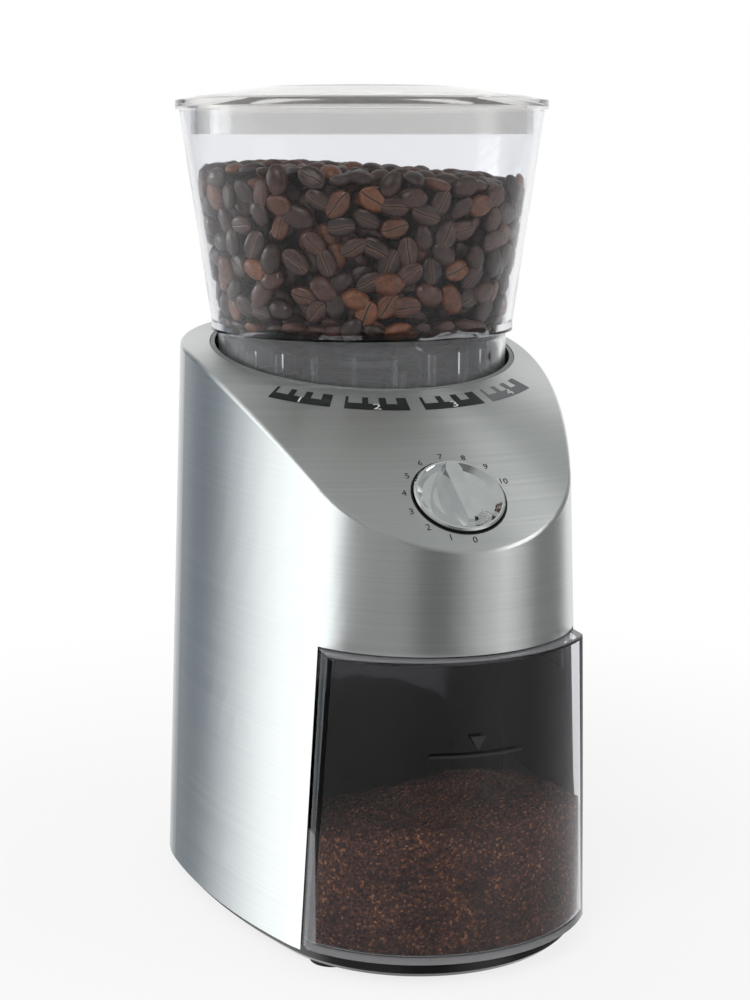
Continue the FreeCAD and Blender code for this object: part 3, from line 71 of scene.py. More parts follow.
# %% Shared places, in millimetres
HOPPER_Y = 20.2
DOME_MIDDLE = Vector((0.0, 57.4, -15.4))
DOME_RADIUS = 225.4
DIAL_MIDDLE = Vector((0.0, -82.4, 161.41))
DIAL_OUT = (DIAL_MIDDLE - DOME_MIDDLE).normalized()
DIAL_RIGHT = Vector((1.0, 0.0, 0.0))
DIAL_UP = DIAL_OUT.cross(DIAL_RIGHT)
print("dial looks along", [round(v, 3) for v in DIAL_OUT])

# %% [markdown]
# ## Two small tools for node trees
# Colours are written as sRGB hex values, as a paint program shows them, and Blender wants linear light.
# One function adds a node of any kind, sets its properties and joins its inputs.

# %% Colour and node tools


def srgb(code):
    """Linear colour of an sRGB hex value."""
    channels = [int(code[start:start + 2], 16) / 255 for start in (1, 3, 5)]
    linear = [c / 12.92 if c <= 0.04045 else ((c + 0.055) / 1.055) ** 2.4 for c in channels]
    return (*linear, 1.0)


def add(tree, kind, joins=None, stops=None, **settings):
    """Add a node: settings are its properties, joins its inputs, stops the colours of a ramp."""
    made = tree.nodes.new(kind)
    for name, value in settings.items():
        setattr(made, name, value)
    for name, value in (joins or {}).items():
        if isinstance(value, bpy.types.NodeSocket):
            tree.links.new(value, made.inputs[name])
        else:
            made.inputs[name].default_value = value
    for number, (position, colour) in enumerate(stops or []):
        ramp = made.color_ramp
        stop = ramp.elements[number] if number < len(ramp.elements) else ramp.elements.new(position)
        stop.position = position
        stop.color = srgb(colour)
    return made


def new_finish(name):
    """Material with a Principled shader, its tree and the Object coordinates."""
    finish = bpy.data.materials.new(name)
    finish.use_nodes = True
    tree = finish.node_tree
    tree.nodes.clear()
    shader = add(tree, "ShaderNodeBsdfPrincipled")
    add(tree, "ShaderNodeOutputMaterial", {"Surface": shader.outputs["BSDF"]})
    return finish, tree, shader, add(tree, "ShaderNodeTexCoord").outputs["Object"]


def per_mm(size):
    """Texture scale that repeats about once per size in millimetres."""
    return 1.0 / (size * MM)


print("white is", srgb("#ffffff"))

# %% [markdown]
# ## Brushed stainless steel
# The body is sheet steel, brushed sideways with an abrasive belt. The eye sees fine level lines, and
# reflections that are smeared up and down across them. Noise that is stretched along X and Y gives the
# lines. Real lines are about 0.1 mm apart, too fine to show here, so they are drawn 0.6 mm apart. The
# shader's anisotropy, turned by a quarter, gives the smear.

# %% Brushed steel finish


def brushed_steel():
    finish, tree, shader, place = new_finish("brushed_stainless_steel")
    stretched = add(tree, "ShaderNodeMapping", {"Vector": place, "Scale": (0.004, 0.004, 1.0)})
    lines = add(tree, "ShaderNodeTexNoise", {
        "Vector": stretched.outputs["Vector"], "Scale": per_mm(0.6), "Detail": 3.0, "Roughness": 0.6})
    tone = add(tree, "ShaderNodeValToRGB", {"Fac": lines.outputs["Fac"]},
               [(0.25, "#cdd0d0"), (0.75, "#dadcdb")])
    gloss = add(tree, "ShaderNodeMapRange", {
        "Value": lines.outputs["Fac"], "From Min": 0.3, "From Max": 0.7, "To Min": 0.34, "To Max": 0.40})
    bump = add(tree, "ShaderNodeBump", {
        "Height": lines.outputs["Fac"], "Strength": 0.02, "Distance": 0.0002})
    tree.links.new(tone.outputs["Color"], shader.inputs["Base Color"])
    tree.links.new(gloss.outputs["Result"], shader.inputs["Roughness"])
    tree.links.new(bump.outputs["Normal"], shader.inputs["Normal"])
    shader.inputs["Metallic"].default_value = 1.0
    shader.inputs["Anisotropic"].default_value = 0.9
    shader.inputs["Anisotropic Rotation"].default_value = 0.25
    return finish


# %% [markdown]
# ## Turned and plated metals
# Shafts, burrs, screws and the chrome dial are metals too. They differ in colour, in gloss and in the
# marks that the tool left, so one function makes them all from those three.

# %% Metal finish


def metal(name, dark, light, gloss, mark, bump_depth=0.05):
    """Metal with tool marks of a size in millimetres."""
    finish, tree, shader, place = new_finish(name)
    marks = add(tree, "ShaderNodeTexNoise", {
        "Vector": place, "Scale": per_mm(mark), "Detail": 3.0, "Roughness": 0.6})
    tone = add(tree, "ShaderNodeValToRGB", {"Fac": marks.outputs["Fac"]}, [(0.3, dark), (0.7, light)])
    wear = add(tree, "ShaderNodeMapRange", {
        "Value": marks.outputs["Fac"], "To Min": gloss * 0.8, "To Max": gloss * 1.25})
    bump = add(tree, "ShaderNodeBump", {
        "Height": marks.outputs["Fac"], "Strength": bump_depth, "Distance": 0.0001})
    tree.links.new(tone.outputs["Color"], shader.inputs["Base Color"])
    tree.links.new(wear.outputs["Result"], shader.inputs["Roughness"])
    tree.links.new(bump.outputs["Normal"], shader.inputs["Normal"])
    shader.inputs["Metallic"].default_value = 1.0
    return finish


# %% [markdown]
# ## Moulded plastics and rubber
# Moulded pieces copy the grain of their steel mould: a fine matt texture, or a polish on the base plate.
# Fine noise gives the grain, and slow noise a slight unevenness of tone.

# %% Moulded finish


def moulded(name, dark, light, gloss, grain, bump_depth=0.15):
    """Moulding with a grain size in millimetres."""
    finish, tree, shader, place = new_finish(name)
    fine = add(tree, "ShaderNodeTexNoise", {"Vector": place, "Scale": per_mm(grain), "Detail": 2.0})
    slow = add(tree, "ShaderNodeTexNoise", {"Vector": place, "Scale": per_mm(25), "Detail": 2.0})
    tone = add(tree, "ShaderNodeValToRGB", {"Fac": slow.outputs["Fac"]}, [(0.3, dark), (0.7, light)])
    sheen = add(tree, "ShaderNodeMapRange", {
        "Value": fine.outputs["Fac"], "To Min": gloss * 0.85, "To Max": gloss * 1.15})
    bump = add(tree, "ShaderNodeBump", {
        "Height": fine.outputs["Fac"], "Strength": bump_depth, "Distance": 0.0002})
    tree.links.new(tone.outputs["Color"], shader.inputs["Base Color"])
    tree.links.new(sheen.outputs["Result"], shader.inputs["Roughness"])
    tree.links.new(bump.outputs["Normal"], shader.inputs["Normal"])
    shader.inputs["IOR"].default_value = 1.5
    return finish


# %% [markdown]
# ## Clear plastic
# Hopper, lid and container are polished clear mouldings. Light goes through them, so the shader transmits.
# Slow noise in the bump gives the slight waviness of a moulding. The colour is almost white, because
# every wall that light passes tints it once more. The index of refraction is matched to the photograph,
# whose walls mirror less than polished styrene does, and lies below styrene's own. The thick edges of the
# container look pale, because light that runs along a wall comes out there.

# %% Clear finish
CLEAR_IOR = 1.27


def clear_moulding(name, tint, gloss, clearness=1.0):
    """Clear moulding: what it doesn't let through is scattered, as in a slightly milky lid."""
    finish, tree, shader, place = new_finish(name)
    waves = add(tree, "ShaderNodeTexNoise", {"Vector": place, "Scale": per_mm(22), "Detail": 1.0})
    haze = add(tree, "ShaderNodeMapRange", {
        "Value": waves.outputs["Fac"], "To Min": gloss * 0.6, "To Max": gloss * 1.4})
    bump = add(tree, "ShaderNodeBump", {
        "Height": waves.outputs["Fac"], "Strength": 0.06, "Distance": 0.001})
    tree.links.new(haze.outputs["Result"], shader.inputs["Roughness"])
    tree.links.new(bump.outputs["Normal"], shader.inputs["Normal"])
    shader.inputs["Base Color"].default_value = srgb(tint)
    shader.inputs["Transmission Weight"].default_value = clearness
    shader.inputs["IOR"].default_value = CLEAR_IOR
    return finish


def pale_edges(finish, solid, foot, rim, side, clearness):
    """Scatter light in the thick edges of a clear solid: its foot, top rim and two sides, in millimetres."""
    tree = finish.node_tree
    spots = [vertex.co for vertex in solid.data.vertices]
    low, high = min(spot.z for spot in spots), max(spot.z for spot in spots)
    reach = max(spot.x for spot in spots)
    place = add(tree, "ShaderNodeTexCoord").outputs["Object"]
    parts = add(tree, "ShaderNodeSeparateXYZ", {"Vector": place})
    across = add(tree, "ShaderNodeMath", {0: parts.outputs["X"]}, operation="ABSOLUTE")
    at_foot = add(tree, "ShaderNodeMath", {0: parts.outputs["Z"], 1: low + foot * MM}, operation="LESS_THAN")
    at_rim = add(tree, "ShaderNodeMath", {0: parts.outputs["Z"], 1: high - rim * MM},
                 operation="GREATER_THAN")
    at_side = add(tree, "ShaderNodeMath", {0: across.outputs[0], 1: reach - side * MM},
                  operation="GREATER_THAN")
    ends = add(tree, "ShaderNodeMath", {0: at_foot.outputs[0], 1: at_rim.outputs[0]}, operation="MAXIMUM")
    edge = add(tree, "ShaderNodeMath", {0: ends.outputs[0], 1: at_side.outputs[0]}, operation="MAXIMUM")
    clear = add(tree, "ShaderNodeMapRange", {"Value": edge.outputs[0], "To Min": 1.0, "To Max": clearness})
    tree.links.new(clear.outputs["Result"], tree.nodes["Principled BSDF"].inputs["Transmission Weight"])


# %% [markdown]
# ## Wound wire and stacked sheets
# Coils are wound from enamelled wire and the motor's cores are stacked from iron sheets. Both show thin
# level stripes. Real sheets are 0.5 mm thick, and the stripes are drawn at 1 mm so that they show.

# %% Striped finish


def striped(name, dark, light, gloss, spacing):
    finish, tree, shader, place = new_finish(name)
    bands = add(tree, "ShaderNodeTexWave", {
        "Vector": place, "Scale": per_mm(spacing) / math.tau * 0.314, "Distortion": 0.4, "Detail": 1.0},
        bands_direction="Z")
    tone = add(tree, "ShaderNodeValToRGB", {"Fac": bands.outputs["Fac"]}, [(0.2, dark), (0.8, light)])
    bump = add(tree, "ShaderNodeBump", {
        "Height": bands.outputs["Fac"], "Strength": 0.4, "Distance": 0.0003})
    tree.links.new(tone.outputs["Color"], shader.inputs["Base Color"])
    tree.links.new(bump.outputs["Normal"], shader.inputs["Normal"])
    shader.inputs["Metallic"].default_value = 1.0
    shader.inputs["Roughness"].default_value = gloss
    return finish


# %% [markdown]
# ## Each slot of the record gets its finish
# The record names a material slot for every node. The table below gives each slot one of the finishes,
# and the loop puts them on the imported solids. A slot without a finish stops the script. Container, collar
# and lid then get finishes of their own. The well's liner gets a light grey that is painted light: it stands
# in for light that comes in through the clear collar and lifts the shade in the gap around the hopper.

# %% Finishes by slot
FINISHES = {
    "housing_steel": brushed_steel(),
    "base_black": moulded("polished_black_abs", "#0d0d0e", "#131314", 0.16, 1.5, 0.03),
    "rubber_black": moulded("black_rubber", "#141414", "#1c1c1b", 0.75, 0.5, 0.3),
    "fastener_steel": metal("zinc_plated_steel", "#8f9296", "#b9bcc0", 0.32, 1.2),
    "bay_plastic": moulded("charcoal_grained_abs", "#1f2124", "#292c31", 0.48, 0.6, 0.2),
    "chamber_plastic": moulded("dark_grey_nylon", "#2e2f31", "#3b3c3f", 0.5, 0.6),
    "case_plastic": moulded("glass_filled_nylon", "#8a8984", "#9c9b95", 0.55, 0.5),
    "burr_steel": metal("hardened_burr_steel", "#6f7073", "#9a9b9e", 0.3, 0.8, 0.12),
    "shaft_steel": metal("ground_shaft_steel", "#a2a3a5", "#c4c5c7", 0.22, 0.6),
    "bush_bronze": metal("sintered_bronze", "#8a6a3a", "#b08a50", 0.4, 0.6, 0.2),
    "gear_plastic": moulded("natural_acetal", "#d8d4c6", "#e6e2d6", 0.38, 0.8),
    "core_iron": striped("stacked_core_iron", "#3a3b3e", "#6b6d70", 0.45, 1.0),
    "bracket_metal": metal("die_cast_aluminium", "#9fa1a3", "#bfc1c2", 0.42, 0.7, 0.15),
    "copper": striped("enamelled_copper_wire", "#7a3517", "#c46b3a", 0.3, 0.9),
    "carbon": moulded("pressed_carbon", "#101010", "#1b1b1b", 0.6, 0.4),
    "fan_plastic": moulded("black_moulding", "#161617", "#202022", 0.5, 0.6),
    "dial_chrome": metal("polished_chrome", "#dcdee0", "#eceeef", 0.03, 9.0, 0.005),
    "clear_plastic": clear_moulding("clear_styrene", "#f3f4f6", 0.03),
}
PAINTED_LATER = {"roasted_bean", "ground_bean"}
for entry in frame["record"]["subparts"]:
    if entry["material_slot"] in PAINTED_LATER:
        continue
    solid = frame["nodes"][entry["node"]]
    solid.data.materials.clear()
    solid.data.materials.append(FINISHES[entry["material_slot"]])
container_finish = clear_moulding("clear_container_styrene", "#f1f1f4", 0.02)
container = frame["nodes"]["grounds_container"]
container.data.materials[0] = container_finish
pale_edges(container_finish, container, foot=2.6, rim=0.7, side=2.2, clearness=0.8)
# Light grey on the well's liner is painted light: it stands in for light that comes in through the clear
# collar and lifts the shade in the gap.
well_painted_light_finish = moulded("well_grey_painted_light", "#6f7271", "#7d807f", 0.4, 0.6)
frame["nodes"]["well_liner"].data.materials[0] = well_painted_light_finish
collar_finish = clear_moulding("ribbed_collar_styrene", "#f3f4f6", 0.05, 0.93)
for collar_node in ("hopper_collar", "collar_ribs"):
    frame["nodes"][collar_node].data.materials[0] = collar_finish
lid_finish = clear_moulding("milky_lid_styrene", "#f6f5f3", 0.03, 0.88)
frame["nodes"]["hopper_lid"].data.materials[0] = lid_finish
print("finishes:", len(bpy.data.materials))

# %% [markdown]
# ## A bean
# A roasted bean is an oval, rounded on one side and almost flat on the other, with a crease along the
# flat side. The shape has few faces because it is repeated hundreds of times. Its own coordinates are
# kept in an attribute, so that the finish can draw the crease on every copy.

# %% Bean shape
BEAN_LENGTH, BEAN_WIDTH, BEAN_HEIGHT = 10.6, 7.6, 5.6


def bean_shape():
    shape = bmesh.new()
    bmesh.ops.create_uvsphere(shape, u_segments=12, v_segments=8, radius=1.0)
    bmesh.ops.rotate(shape, verts=shape.verts, matrix=Matrix.Rotation(math.pi / 2, 3, "Y"))
    local = [vertex.co.copy() for vertex in shape.verts]
    for vertex in shape.verts:
        x, y, z = vertex.co
        flat = 0.62 if z < 0 else 1.0
        crease = 0.30 * math.exp(-(y / 0.16) ** 2) * (1 - x * x) if z < -0.3 else 0.0
        vertex.co = Vector((
            x * BEAN_LENGTH / 2, y * BEAN_WIDTH / 2, (z * flat + crease) * BEAN_HEIGHT / 2)) * MM
    mesh = bpy.data.meshes.new("bean_shape")
    shape.to_mesh(mesh)
    shape.free()
    mesh.attributes.new("bean_place", "FLOAT_VECTOR", "POINT")
    mesh.attributes["bean_place"].data.foreach_set("vector", [v for spot in local for v in spot])
    mesh.shade_smooth()
    return mesh


bean_mesh = bean_shape()
print("faces of one bean:", len(bean_mesh.polygons))

# %% [markdown]
# ## Roasted bean skin
# The skin is dark brown and slightly oily, a few beans are lighter and redder, and the crease is a slit
# with a paler lip. The slit's dark colour is painted shade, for the shade that falls into the crease. Each
# copy carries a tone between 0 and 1 that picks its brown.

# %% Bean finish


def roasted_skin():
    finish, tree, shader, place = new_finish("roasted_bean_skin")
    tone = add(tree, "ShaderNodeAttribute", attribute_name="bean_tone")
    spot = add(tree, "ShaderNodeAttribute", attribute_name="bean_place")
    parts = add(tree, "ShaderNodeSeparateXYZ", {"Vector": spot.outputs["Vector"]})
    mottle = add(tree, "ShaderNodeTexNoise", {
        "Vector": place, "Scale": per_mm(1.6), "Detail": 4.0, "Roughness": 0.65})
    brown = add(tree, "ShaderNodeValToRGB", {"Fac": tone.outputs["Fac"]}, [
        (0.0, "#38221c"), (0.5, "#4f3128"), (0.82, "#653f31"), (0.92, "#834d31"), (1.0, "#a3623a")])
    shade = add(tree, "ShaderNodeValToRGB", {"Fac": mottle.outputs["Fac"]},
                [(0.3, "#9a9a9a"), (0.7, "#ffffff")])
    mottled = add(tree, "ShaderNodeMix", {
        "Factor": 1.0, 6: brown.outputs["Color"], 7: shade.outputs["Color"]}, data_type="RGBA",
        blend_type="MULTIPLY")
    bend = add(tree, "ShaderNodeMath", {0: parts.outputs["X"], 1: 3.2}, operation="MULTIPLY")
    sway = add(tree, "ShaderNodeMath", {0: bend.outputs[0]}, operation="SINE")
    line = add(tree, "ShaderNodeMath", {0: sway.outputs[0], 1: 0.06, 2: parts.outputs["Y"]},
               operation="MULTIPLY_ADD")
    away = add(tree, "ShaderNodeMath", {0: line.outputs[0]}, operation="ABSOLUTE")
    under = add(tree, "ShaderNodeMath", {0: parts.outputs["Z"], 1: -0.35}, operation="LESS_THAN")
    # The dark slit along the crease is painted shade: the shade inside the crease, drawn as colour.
    slit_painted_shade = add(tree, "ShaderNodeMapRange", {
        "Value": away.outputs[0], "From Min": 0.035, "From Max": 0.10, "To Min": 1.0, "To Max": 0.0})
    lip = add(tree, "ShaderNodeMapRange", {
        "Value": away.outputs[0], "From Min": 0.10, "From Max": 0.24, "To Min": 0.55, "To Max": 0.0})
    lip_side = add(tree, "ShaderNodeMath", {0: lip.outputs["Result"], 1: under.outputs[0]},
                   operation="MULTIPLY")
    slit_painted_shade_under = add(tree, "ShaderNodeMath", {0: slit_painted_shade.outputs["Result"], 1: under.outputs[0]},
                    operation="MULTIPLY")
    lipped = add(tree, "ShaderNodeMix", {
        "Factor": lip_side.outputs[0], 6: mottled.outputs[2], 7: srgb("#8a6247")}, data_type="RGBA")
    # The near-black colour mixed in here is the painted shade of the crease.
    creased = add(tree, "ShaderNodeMix", {
        "Factor": slit_painted_shade_under.outputs[0], 6: lipped.outputs[2], 7: srgb("#1a0f0c")}, data_type="RGBA")
    depth = add(tree, "ShaderNodeMath", {0: slit_painted_shade_under.outputs[0], 1: -3.0, 2: mottle.outputs["Fac"]},
                operation="MULTIPLY_ADD")
    bump = add(tree, "ShaderNodeBump", {"Height": depth.outputs[0], "Strength": 0.35, "Distance": 0.0005})
    tree.links.new(creased.outputs[2], shader.inputs["Base Color"])
    tree.links.new(bump.outputs["Normal"], shader.inputs["Normal"])
    shader.inputs["Roughness"].default_value = 0.36
    shader.inputs["IOR"].default_value = 1.47
    return finish


bean_finish = roasted_skin()

# %% [markdown]
# ## Geometry Nodes: scattering copies on a surface
# Beans and coffee grains are copies on a surface. The tree spreads points at a smallest distance, lays a
# copy at each with a random lean, spin and size, stores a random tone, and turns the copies into plain
# mesh. The same tree serves both, with its sizes as named inputs and a fixed seed.

# %% Scatter tree


def scatter_tree(name, shape, finish, tone_name):
    tree = bpy.data.node_groups.new(name, "GeometryNodeTree")
    face = tree.interface
    face.new_socket("Geometry", in_out="INPUT", socket_type="NodeSocketGeometry")
    for label, kind in (("Distance", "Float"), ("Density", "Float"), ("Lean", "Float"),
                        ("Smallest", "Float"), ("Largest", "Float"), ("Flip", "Float"), ("Seed", "Int")):
        face.new_socket(label, in_out="INPUT", socket_type="NodeSocket" + kind)
    face.new_socket("Geometry", in_out="OUTPUT", socket_type="NodeSocketGeometry")
    given = add(tree, "NodeGroupInput").outputs
    spread = add(tree, "GeometryNodeDistributePointsOnFaces", {
        "Mesh": given["Geometry"], "Distance Min": given["Distance"], "Density Max": given["Density"],
        "Seed": given["Seed"]}, distribute_method="POISSON")
    back = add(tree, "ShaderNodeMath", {0: given["Lean"], 1: -1.0}, operation="MULTIPLY")
    low = add(tree, "ShaderNodeCombineXYZ", {"X": back.outputs[0], "Y": back.outputs[0], "Z": 0.0})
    high = add(tree, "ShaderNodeCombineXYZ", {"X": given["Lean"], "Y": given["Lean"], "Z": math.tau})
    lean = add(tree, "FunctionNodeRandomValue", {
        0: low.outputs[0], 1: high.outputs[0], "Seed": given["Seed"]}, data_type="FLOAT_VECTOR")
    turned = add(tree, "FunctionNodeEulerToRotation", {"Euler": lean.outputs[0]})
    laid = add(tree, "FunctionNodeRotateRotation", {
        "Rotation": spread.outputs["Rotation"], "Rotate By": turned.outputs[0]}, rotation_space="LOCAL")
    chance = add(tree, "FunctionNodeRandomValue", {
        "Probability": given["Flip"], "Seed": given["Seed"]}, data_type="BOOLEAN")
    half_turn = add(tree, "ShaderNodeMath", {0: chance.outputs[3], 1: math.pi}, operation="MULTIPLY")
    over = add(tree, "ShaderNodeCombineXYZ", {"X": half_turn.outputs[0]})
    flip = add(tree, "FunctionNodeEulerToRotation", {"Euler": over.outputs[0]})
    flipped = add(tree, "FunctionNodeRotateRotation", {
        "Rotation": laid.outputs[0], "Rotate By": flip.outputs[0]}, rotation_space="LOCAL")
    scale = add(tree, "FunctionNodeRandomValue", {
        2: given["Smallest"], 3: given["Largest"], "Seed": given["Seed"]}, data_type="FLOAT")
    copy = add(tree, "GeometryNodeObjectInfo", {"Object": shape})
    copies = add(tree, "GeometryNodeInstanceOnPoints", {
        "Points": spread.outputs["Points"], "Instance": copy.outputs["Geometry"],
        "Rotation": flipped.outputs[0], "Scale": scale.outputs[1]})
    tone = add(tree, "FunctionNodeRandomValue", {2: 0.0, 3: 1.0, "Seed": 11}, data_type="FLOAT")
    toned = add(tree, "GeometryNodeStoreNamedAttribute", {
        "Geometry": copies.outputs["Instances"], "Name": tone_name, 3: tone.outputs[1]},
        data_type="FLOAT", domain="INSTANCE")
    plain = add(tree, "GeometryNodeRealizeInstances", {"Geometry": toned.outputs["Geometry"]})
    dressed = add(tree, "GeometryNodeSetMaterial", {
        "Geometry": plain.outputs["Geometry"], "Material": finish})
    add(tree, "NodeGroupOutput", {"Geometry": dressed.outputs["Geometry"]})
    return tree


def grow(name, mesh, tree, **sizes):
    """Run a tree on a mesh and keep the result as a plain mesh object."""
    piece = bpy.data.objects.new(name, mesh)
    bpy.context.scene.collection.objects.link(piece)
    modifier = piece.modifiers.new("grow", "NODES")
    modifier.node_group = tree
    for socket in tree.interface.items_tree:
        if socket.in_out == "INPUT" and socket.name in sizes:
            modifier[socket.identifier] = sizes[socket.name]
    view = bpy.context.evaluated_depsgraph_get()
    grown = bpy.data.meshes.new_from_object(
        piece.evaluated_get(view), preserve_all_data_layers=True, depsgraph=view)
    piece.modifiers.remove(modifier)
    piece.data = grown
    grown.name = name
    grown.shade_smooth()
    return piece


def turned_surface(name, corners, steps):
    """Surface turned about the hopper's axis from corners of radius, level and fall to the right."""
    shape = bmesh.new()
    rings = []
    for radius, level, fall in corners:
        ring = []
        for step in range(steps):
            x, y = radius * math.cos(math.tau * step / steps), radius * math.sin(math.tau * step / steps)
            ring.append(shape.verts.new(Vector((x, HOPPER_Y + y, level - fall * x)) * MM))
        rings.append(ring)
    for lower, upper in zip(rings, rings[1:]):
        for step in range(steps):
            after = (step + 1) % steps
            shape.faces.new((lower[step], lower[after], upper[after], upper[step]))
    mesh = bpy.data.meshes.new(name)
    shape.to_mesh(mesh)
    shape.free()
    return mesh


# %% [markdown]
# ## Beans in the hopper
# Only the outer layers of the filling show. The beans lie on a turned surface just inside the hopper's
# wall and on a second one behind it, with a plain core inside. The top falls a little to the right.
# Real beans are pressed against the wall, so what would stick into it is moved back to its inner face.

# %% Beans
WALL_RADIUS, WALL_LEVEL, WALL_LEAN, WALL_GAP = 53.07, 212.0, 0.1396, 0.3
BEAN_FALL = 0.055
bean_object = bpy.data.objects.new("bean_shape", bean_mesh)
bpy.context.scene.collection.objects.link(bean_object)
bean_tree = scatter_tree("scatter_beans", bean_object, bean_finish, "bean_tone")


def wall_inside(level):
    """Radius of the hopper's inner face at a level, in millimetres."""
    return WALL_RADIUS + WALL_LEAN * max(level - WALL_LEVEL, -6.0)


def bean_layer(depth, top, foot):
    """Corners of a layer that lies a depth inside the wall, between two levels."""
    side = [(wall_inside(level) - depth, level, 0.0) for level in (foot, foot + 12, foot + 24)]
    high = wall_inside(top) - depth
    crown = [(high, -7.0), (high - 0.6, -1.5), (high * 0.75, 0.8), (high * 0.4, 1.8), (0.5, 2.0)]
    funnel = [(24.0, foot - 6.5, 0.0), (44.0, foot - 1.8, 0.0)]
    return funnel + side + [(radius, top + lift, BEAN_FALL) for radius, lift in crown]


beans = grow(
    "beans_outer", turned_surface("bean_surface", bean_layer(2.7, 261.5, 210.4), 72), bean_tree,
    Distance=6.3 * MM, Density=70000.0, Lean=0.24, Smallest=0.88, Largest=1.1, Flip=0.5, Seed=3)
deep_beans = grow(
    "beans_inner", turned_surface("bean_depth", bean_layer(7.6, 257.0, 213.0), 48), bean_tree,
    Distance=6.0 * MM, Density=50000.0, Lean=0.6, Smallest=0.9, Largest=1.1, Flip=0.5, Seed=8)
bpy.data.objects.remove(bean_object)
for vertex in beans.data.vertices:
    x, y = vertex.co.x / MM, vertex.co.y / MM - HOPPER_Y
    share = (wall_inside(vertex.co.z / MM) - WALL_GAP) / max(math.hypot(x, y), 1.0)
    if share < 1.0:
        vertex.co = Vector((x * share, HOPPER_Y + y * share, vertex.co.z / MM)) * MM
bean_core = bpy.data.objects.new(
    "bean_core", turned_surface("bean_core", bean_layer(10.5, 254.5, 215.0), 48))
bpy.context.scene.collection.objects.link(bean_core)
bean_core.data.materials.append(bean_finish)
for piece in (beans, deep_beans, bean_core):
    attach(piece, "hopper")
    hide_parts("coffee_beans")
    print(piece.name, "faces:", len(piece.data.polygons))

# %% [markdown]
# ## Ground coffee
# The heap fills the foot of the container, rises towards the front and falls away to the back. Its plan
# follows the container: a round front, straight sides and a flat back. Rings of that plan make the sides,
# and smaller and smaller rings the top, lifted by a height rule with a little ripple.

# %% Heap shape
FRONT_RADIUS, FRONT_MIDDLE, HEAP_BACK = 57.7, -41.6, -9.4
HEAP_FOOT, HEAP_RISE, HEAP_LEVEL, PEAK_HEIGHT = 12.0, 38.0, 51.0, 7.0


def heap_height(x, y):
    """Level of the heap's top in millimetres."""
    peak = PEAK_HEIGHT * math.exp(-((x - 14) / 26) ** 2 - ((y + 62) / 34) ** 2)
    ripple = 0.7 * math.sin(x * 0.31 + y * 0.17) + 0.5 * math.sin(x * 0.13 - y * 0.41 + 1.0)
    slope = 0.08 * max(0.0, -50 - y) - 0.3 * max(0.0, y + 50) - 0.1 * max(0.0, x - 25)
    return HEAP_LEVEL + 0.03 * x + peak + slope + ripple


def heap_plan(level, count):
    """Loop around the container's inside at a level."""
    half = 47.5 - 0.054 * (level - 15.0) - 0.4
    side = math.acos(min(1.0, half / FRONT_RADIUS))
    front_y = FRONT_MIDDLE - FRONT_RADIUS * math.sin(side)
    corners = [(half, front_y), (half, HEAP_BACK), (-half, HEAP_BACK), (-half, front_y)]
    loop = []
    parts = count // 3
    for (x0, y0), (x1, y1) in zip(corners, corners[1:]):
        loop += [(x0 + (x1 - x0) * step / parts, y0 + (y1 - y0) * step / parts) for step in range(parts)]
    for step in range(count):
        angle = math.pi + side + (math.pi - 2 * side) * step / count
        loop.append((FRONT_RADIUS * math.cos(angle), FRONT_MIDDLE + FRONT_RADIUS * math.sin(angle)))
    return loop


def heap_shape():
    shape = bmesh.new()
    count, sides, tops = 36, 6, 14
    rings = []
    for step in range(sides + 1):
        ring = []
        for x, y in heap_plan(HEAP_FOOT + HEAP_RISE * step / sides, count):
            top = heap_height(x, y) - 1.0
            ring.append(Vector((x, y, HEAP_FOOT + (top - HEAP_FOOT) * step / sides)))
        rings.append(ring)
    rim = rings[-1]
    middle = Vector((4.0, -48.0, 0.0))
    for step in range(1, tops):
        share = 1 - step / tops
        ring = []
        for spot in rim:
            x, y = middle.x + (spot.x - middle.x) * share, middle.y + (spot.y - middle.y) * share
            ring.append(Vector((x, y, heap_height(x, y))))
        rings.append(ring)
    corners = [[shape.verts.new(spot * MM) for spot in ring] for ring in rings]
    for lower, upper in zip(corners, corners[1:]):
        for step in range(len(lower)):
            after = (step + 1) % len(lower)
            shape.faces.new((lower[step], lower[after], upper[after], upper[step]))
    shape.faces.new(corners[-1])
    shape.faces.new(list(reversed(corners[0])))
    bmesh.ops.recalc_face_normals(shape, faces=shape.faces)
    mesh = bpy.data.meshes.new("coffee_heap")
    shape.to_mesh(mesh)
    shape.free()
    mesh.shade_smooth()
    return mesh


heap = bpy.data.objects.new("coffee_heap", heap_shape())
bpy.context.scene.collection.objects.link(heap)
print("heap top:", round(max(v.co.z for v in heap.data.vertices) / MM, 1), "mm")

# %% [markdown]
# ## Ground coffee finish
# Grains are about 0.7 mm, dark brown, with some redder and some pale chaff. Cells of a Voronoi pattern
# give each grain its own tone and a raised middle.

# %% Ground coffee finish and grains


def ground_finish():
    finish, tree, shader, place = new_finish("ground_coffee_grains")
    cells = add(tree, "ShaderNodeTexVoronoi", {"Vector": place, "Scale": per_mm(0.7)})
    slow = add(tree, "ShaderNodeTexNoise", {"Vector": place, "Scale": per_mm(14), "Detail": 3.0})
    pick = add(tree, "ShaderNodeSeparateColor", {"Color": cells.outputs["Color"]})
    tone = add(tree, "ShaderNodeValToRGB", {"Fac": pick.outputs["Red"]}, [
        (0.0, "#2e1a14"), (0.4, "#4c2d22"), (0.75, "#643d2e"), (0.93, "#8b5337"), (1.0, "#b87b52")])
    shade = add(tree, "ShaderNodeValToRGB", {"Fac": slow.outputs["Fac"]},
                [(0.3, "#a8a2a0"), (0.7, "#ffffff")])
    mixed = add(tree, "ShaderNodeMix", {
        "Factor": 1.0, 6: tone.outputs["Color"], 7: shade.outputs["Color"]}, data_type="RGBA",
        blend_type="MULTIPLY")
    bump = add(tree, "ShaderNodeBump", {
        "Height": cells.outputs["Distance"], "Strength": 0.8, "Distance": 0.0006}, invert=True)
    tree.links.new(mixed.outputs[2], shader.inputs["Base Color"])
    tree.links.new(bump.outputs["Normal"], shader.inputs["Normal"])
    shader.inputs["Roughness"].default_value = 0.8
    return finish


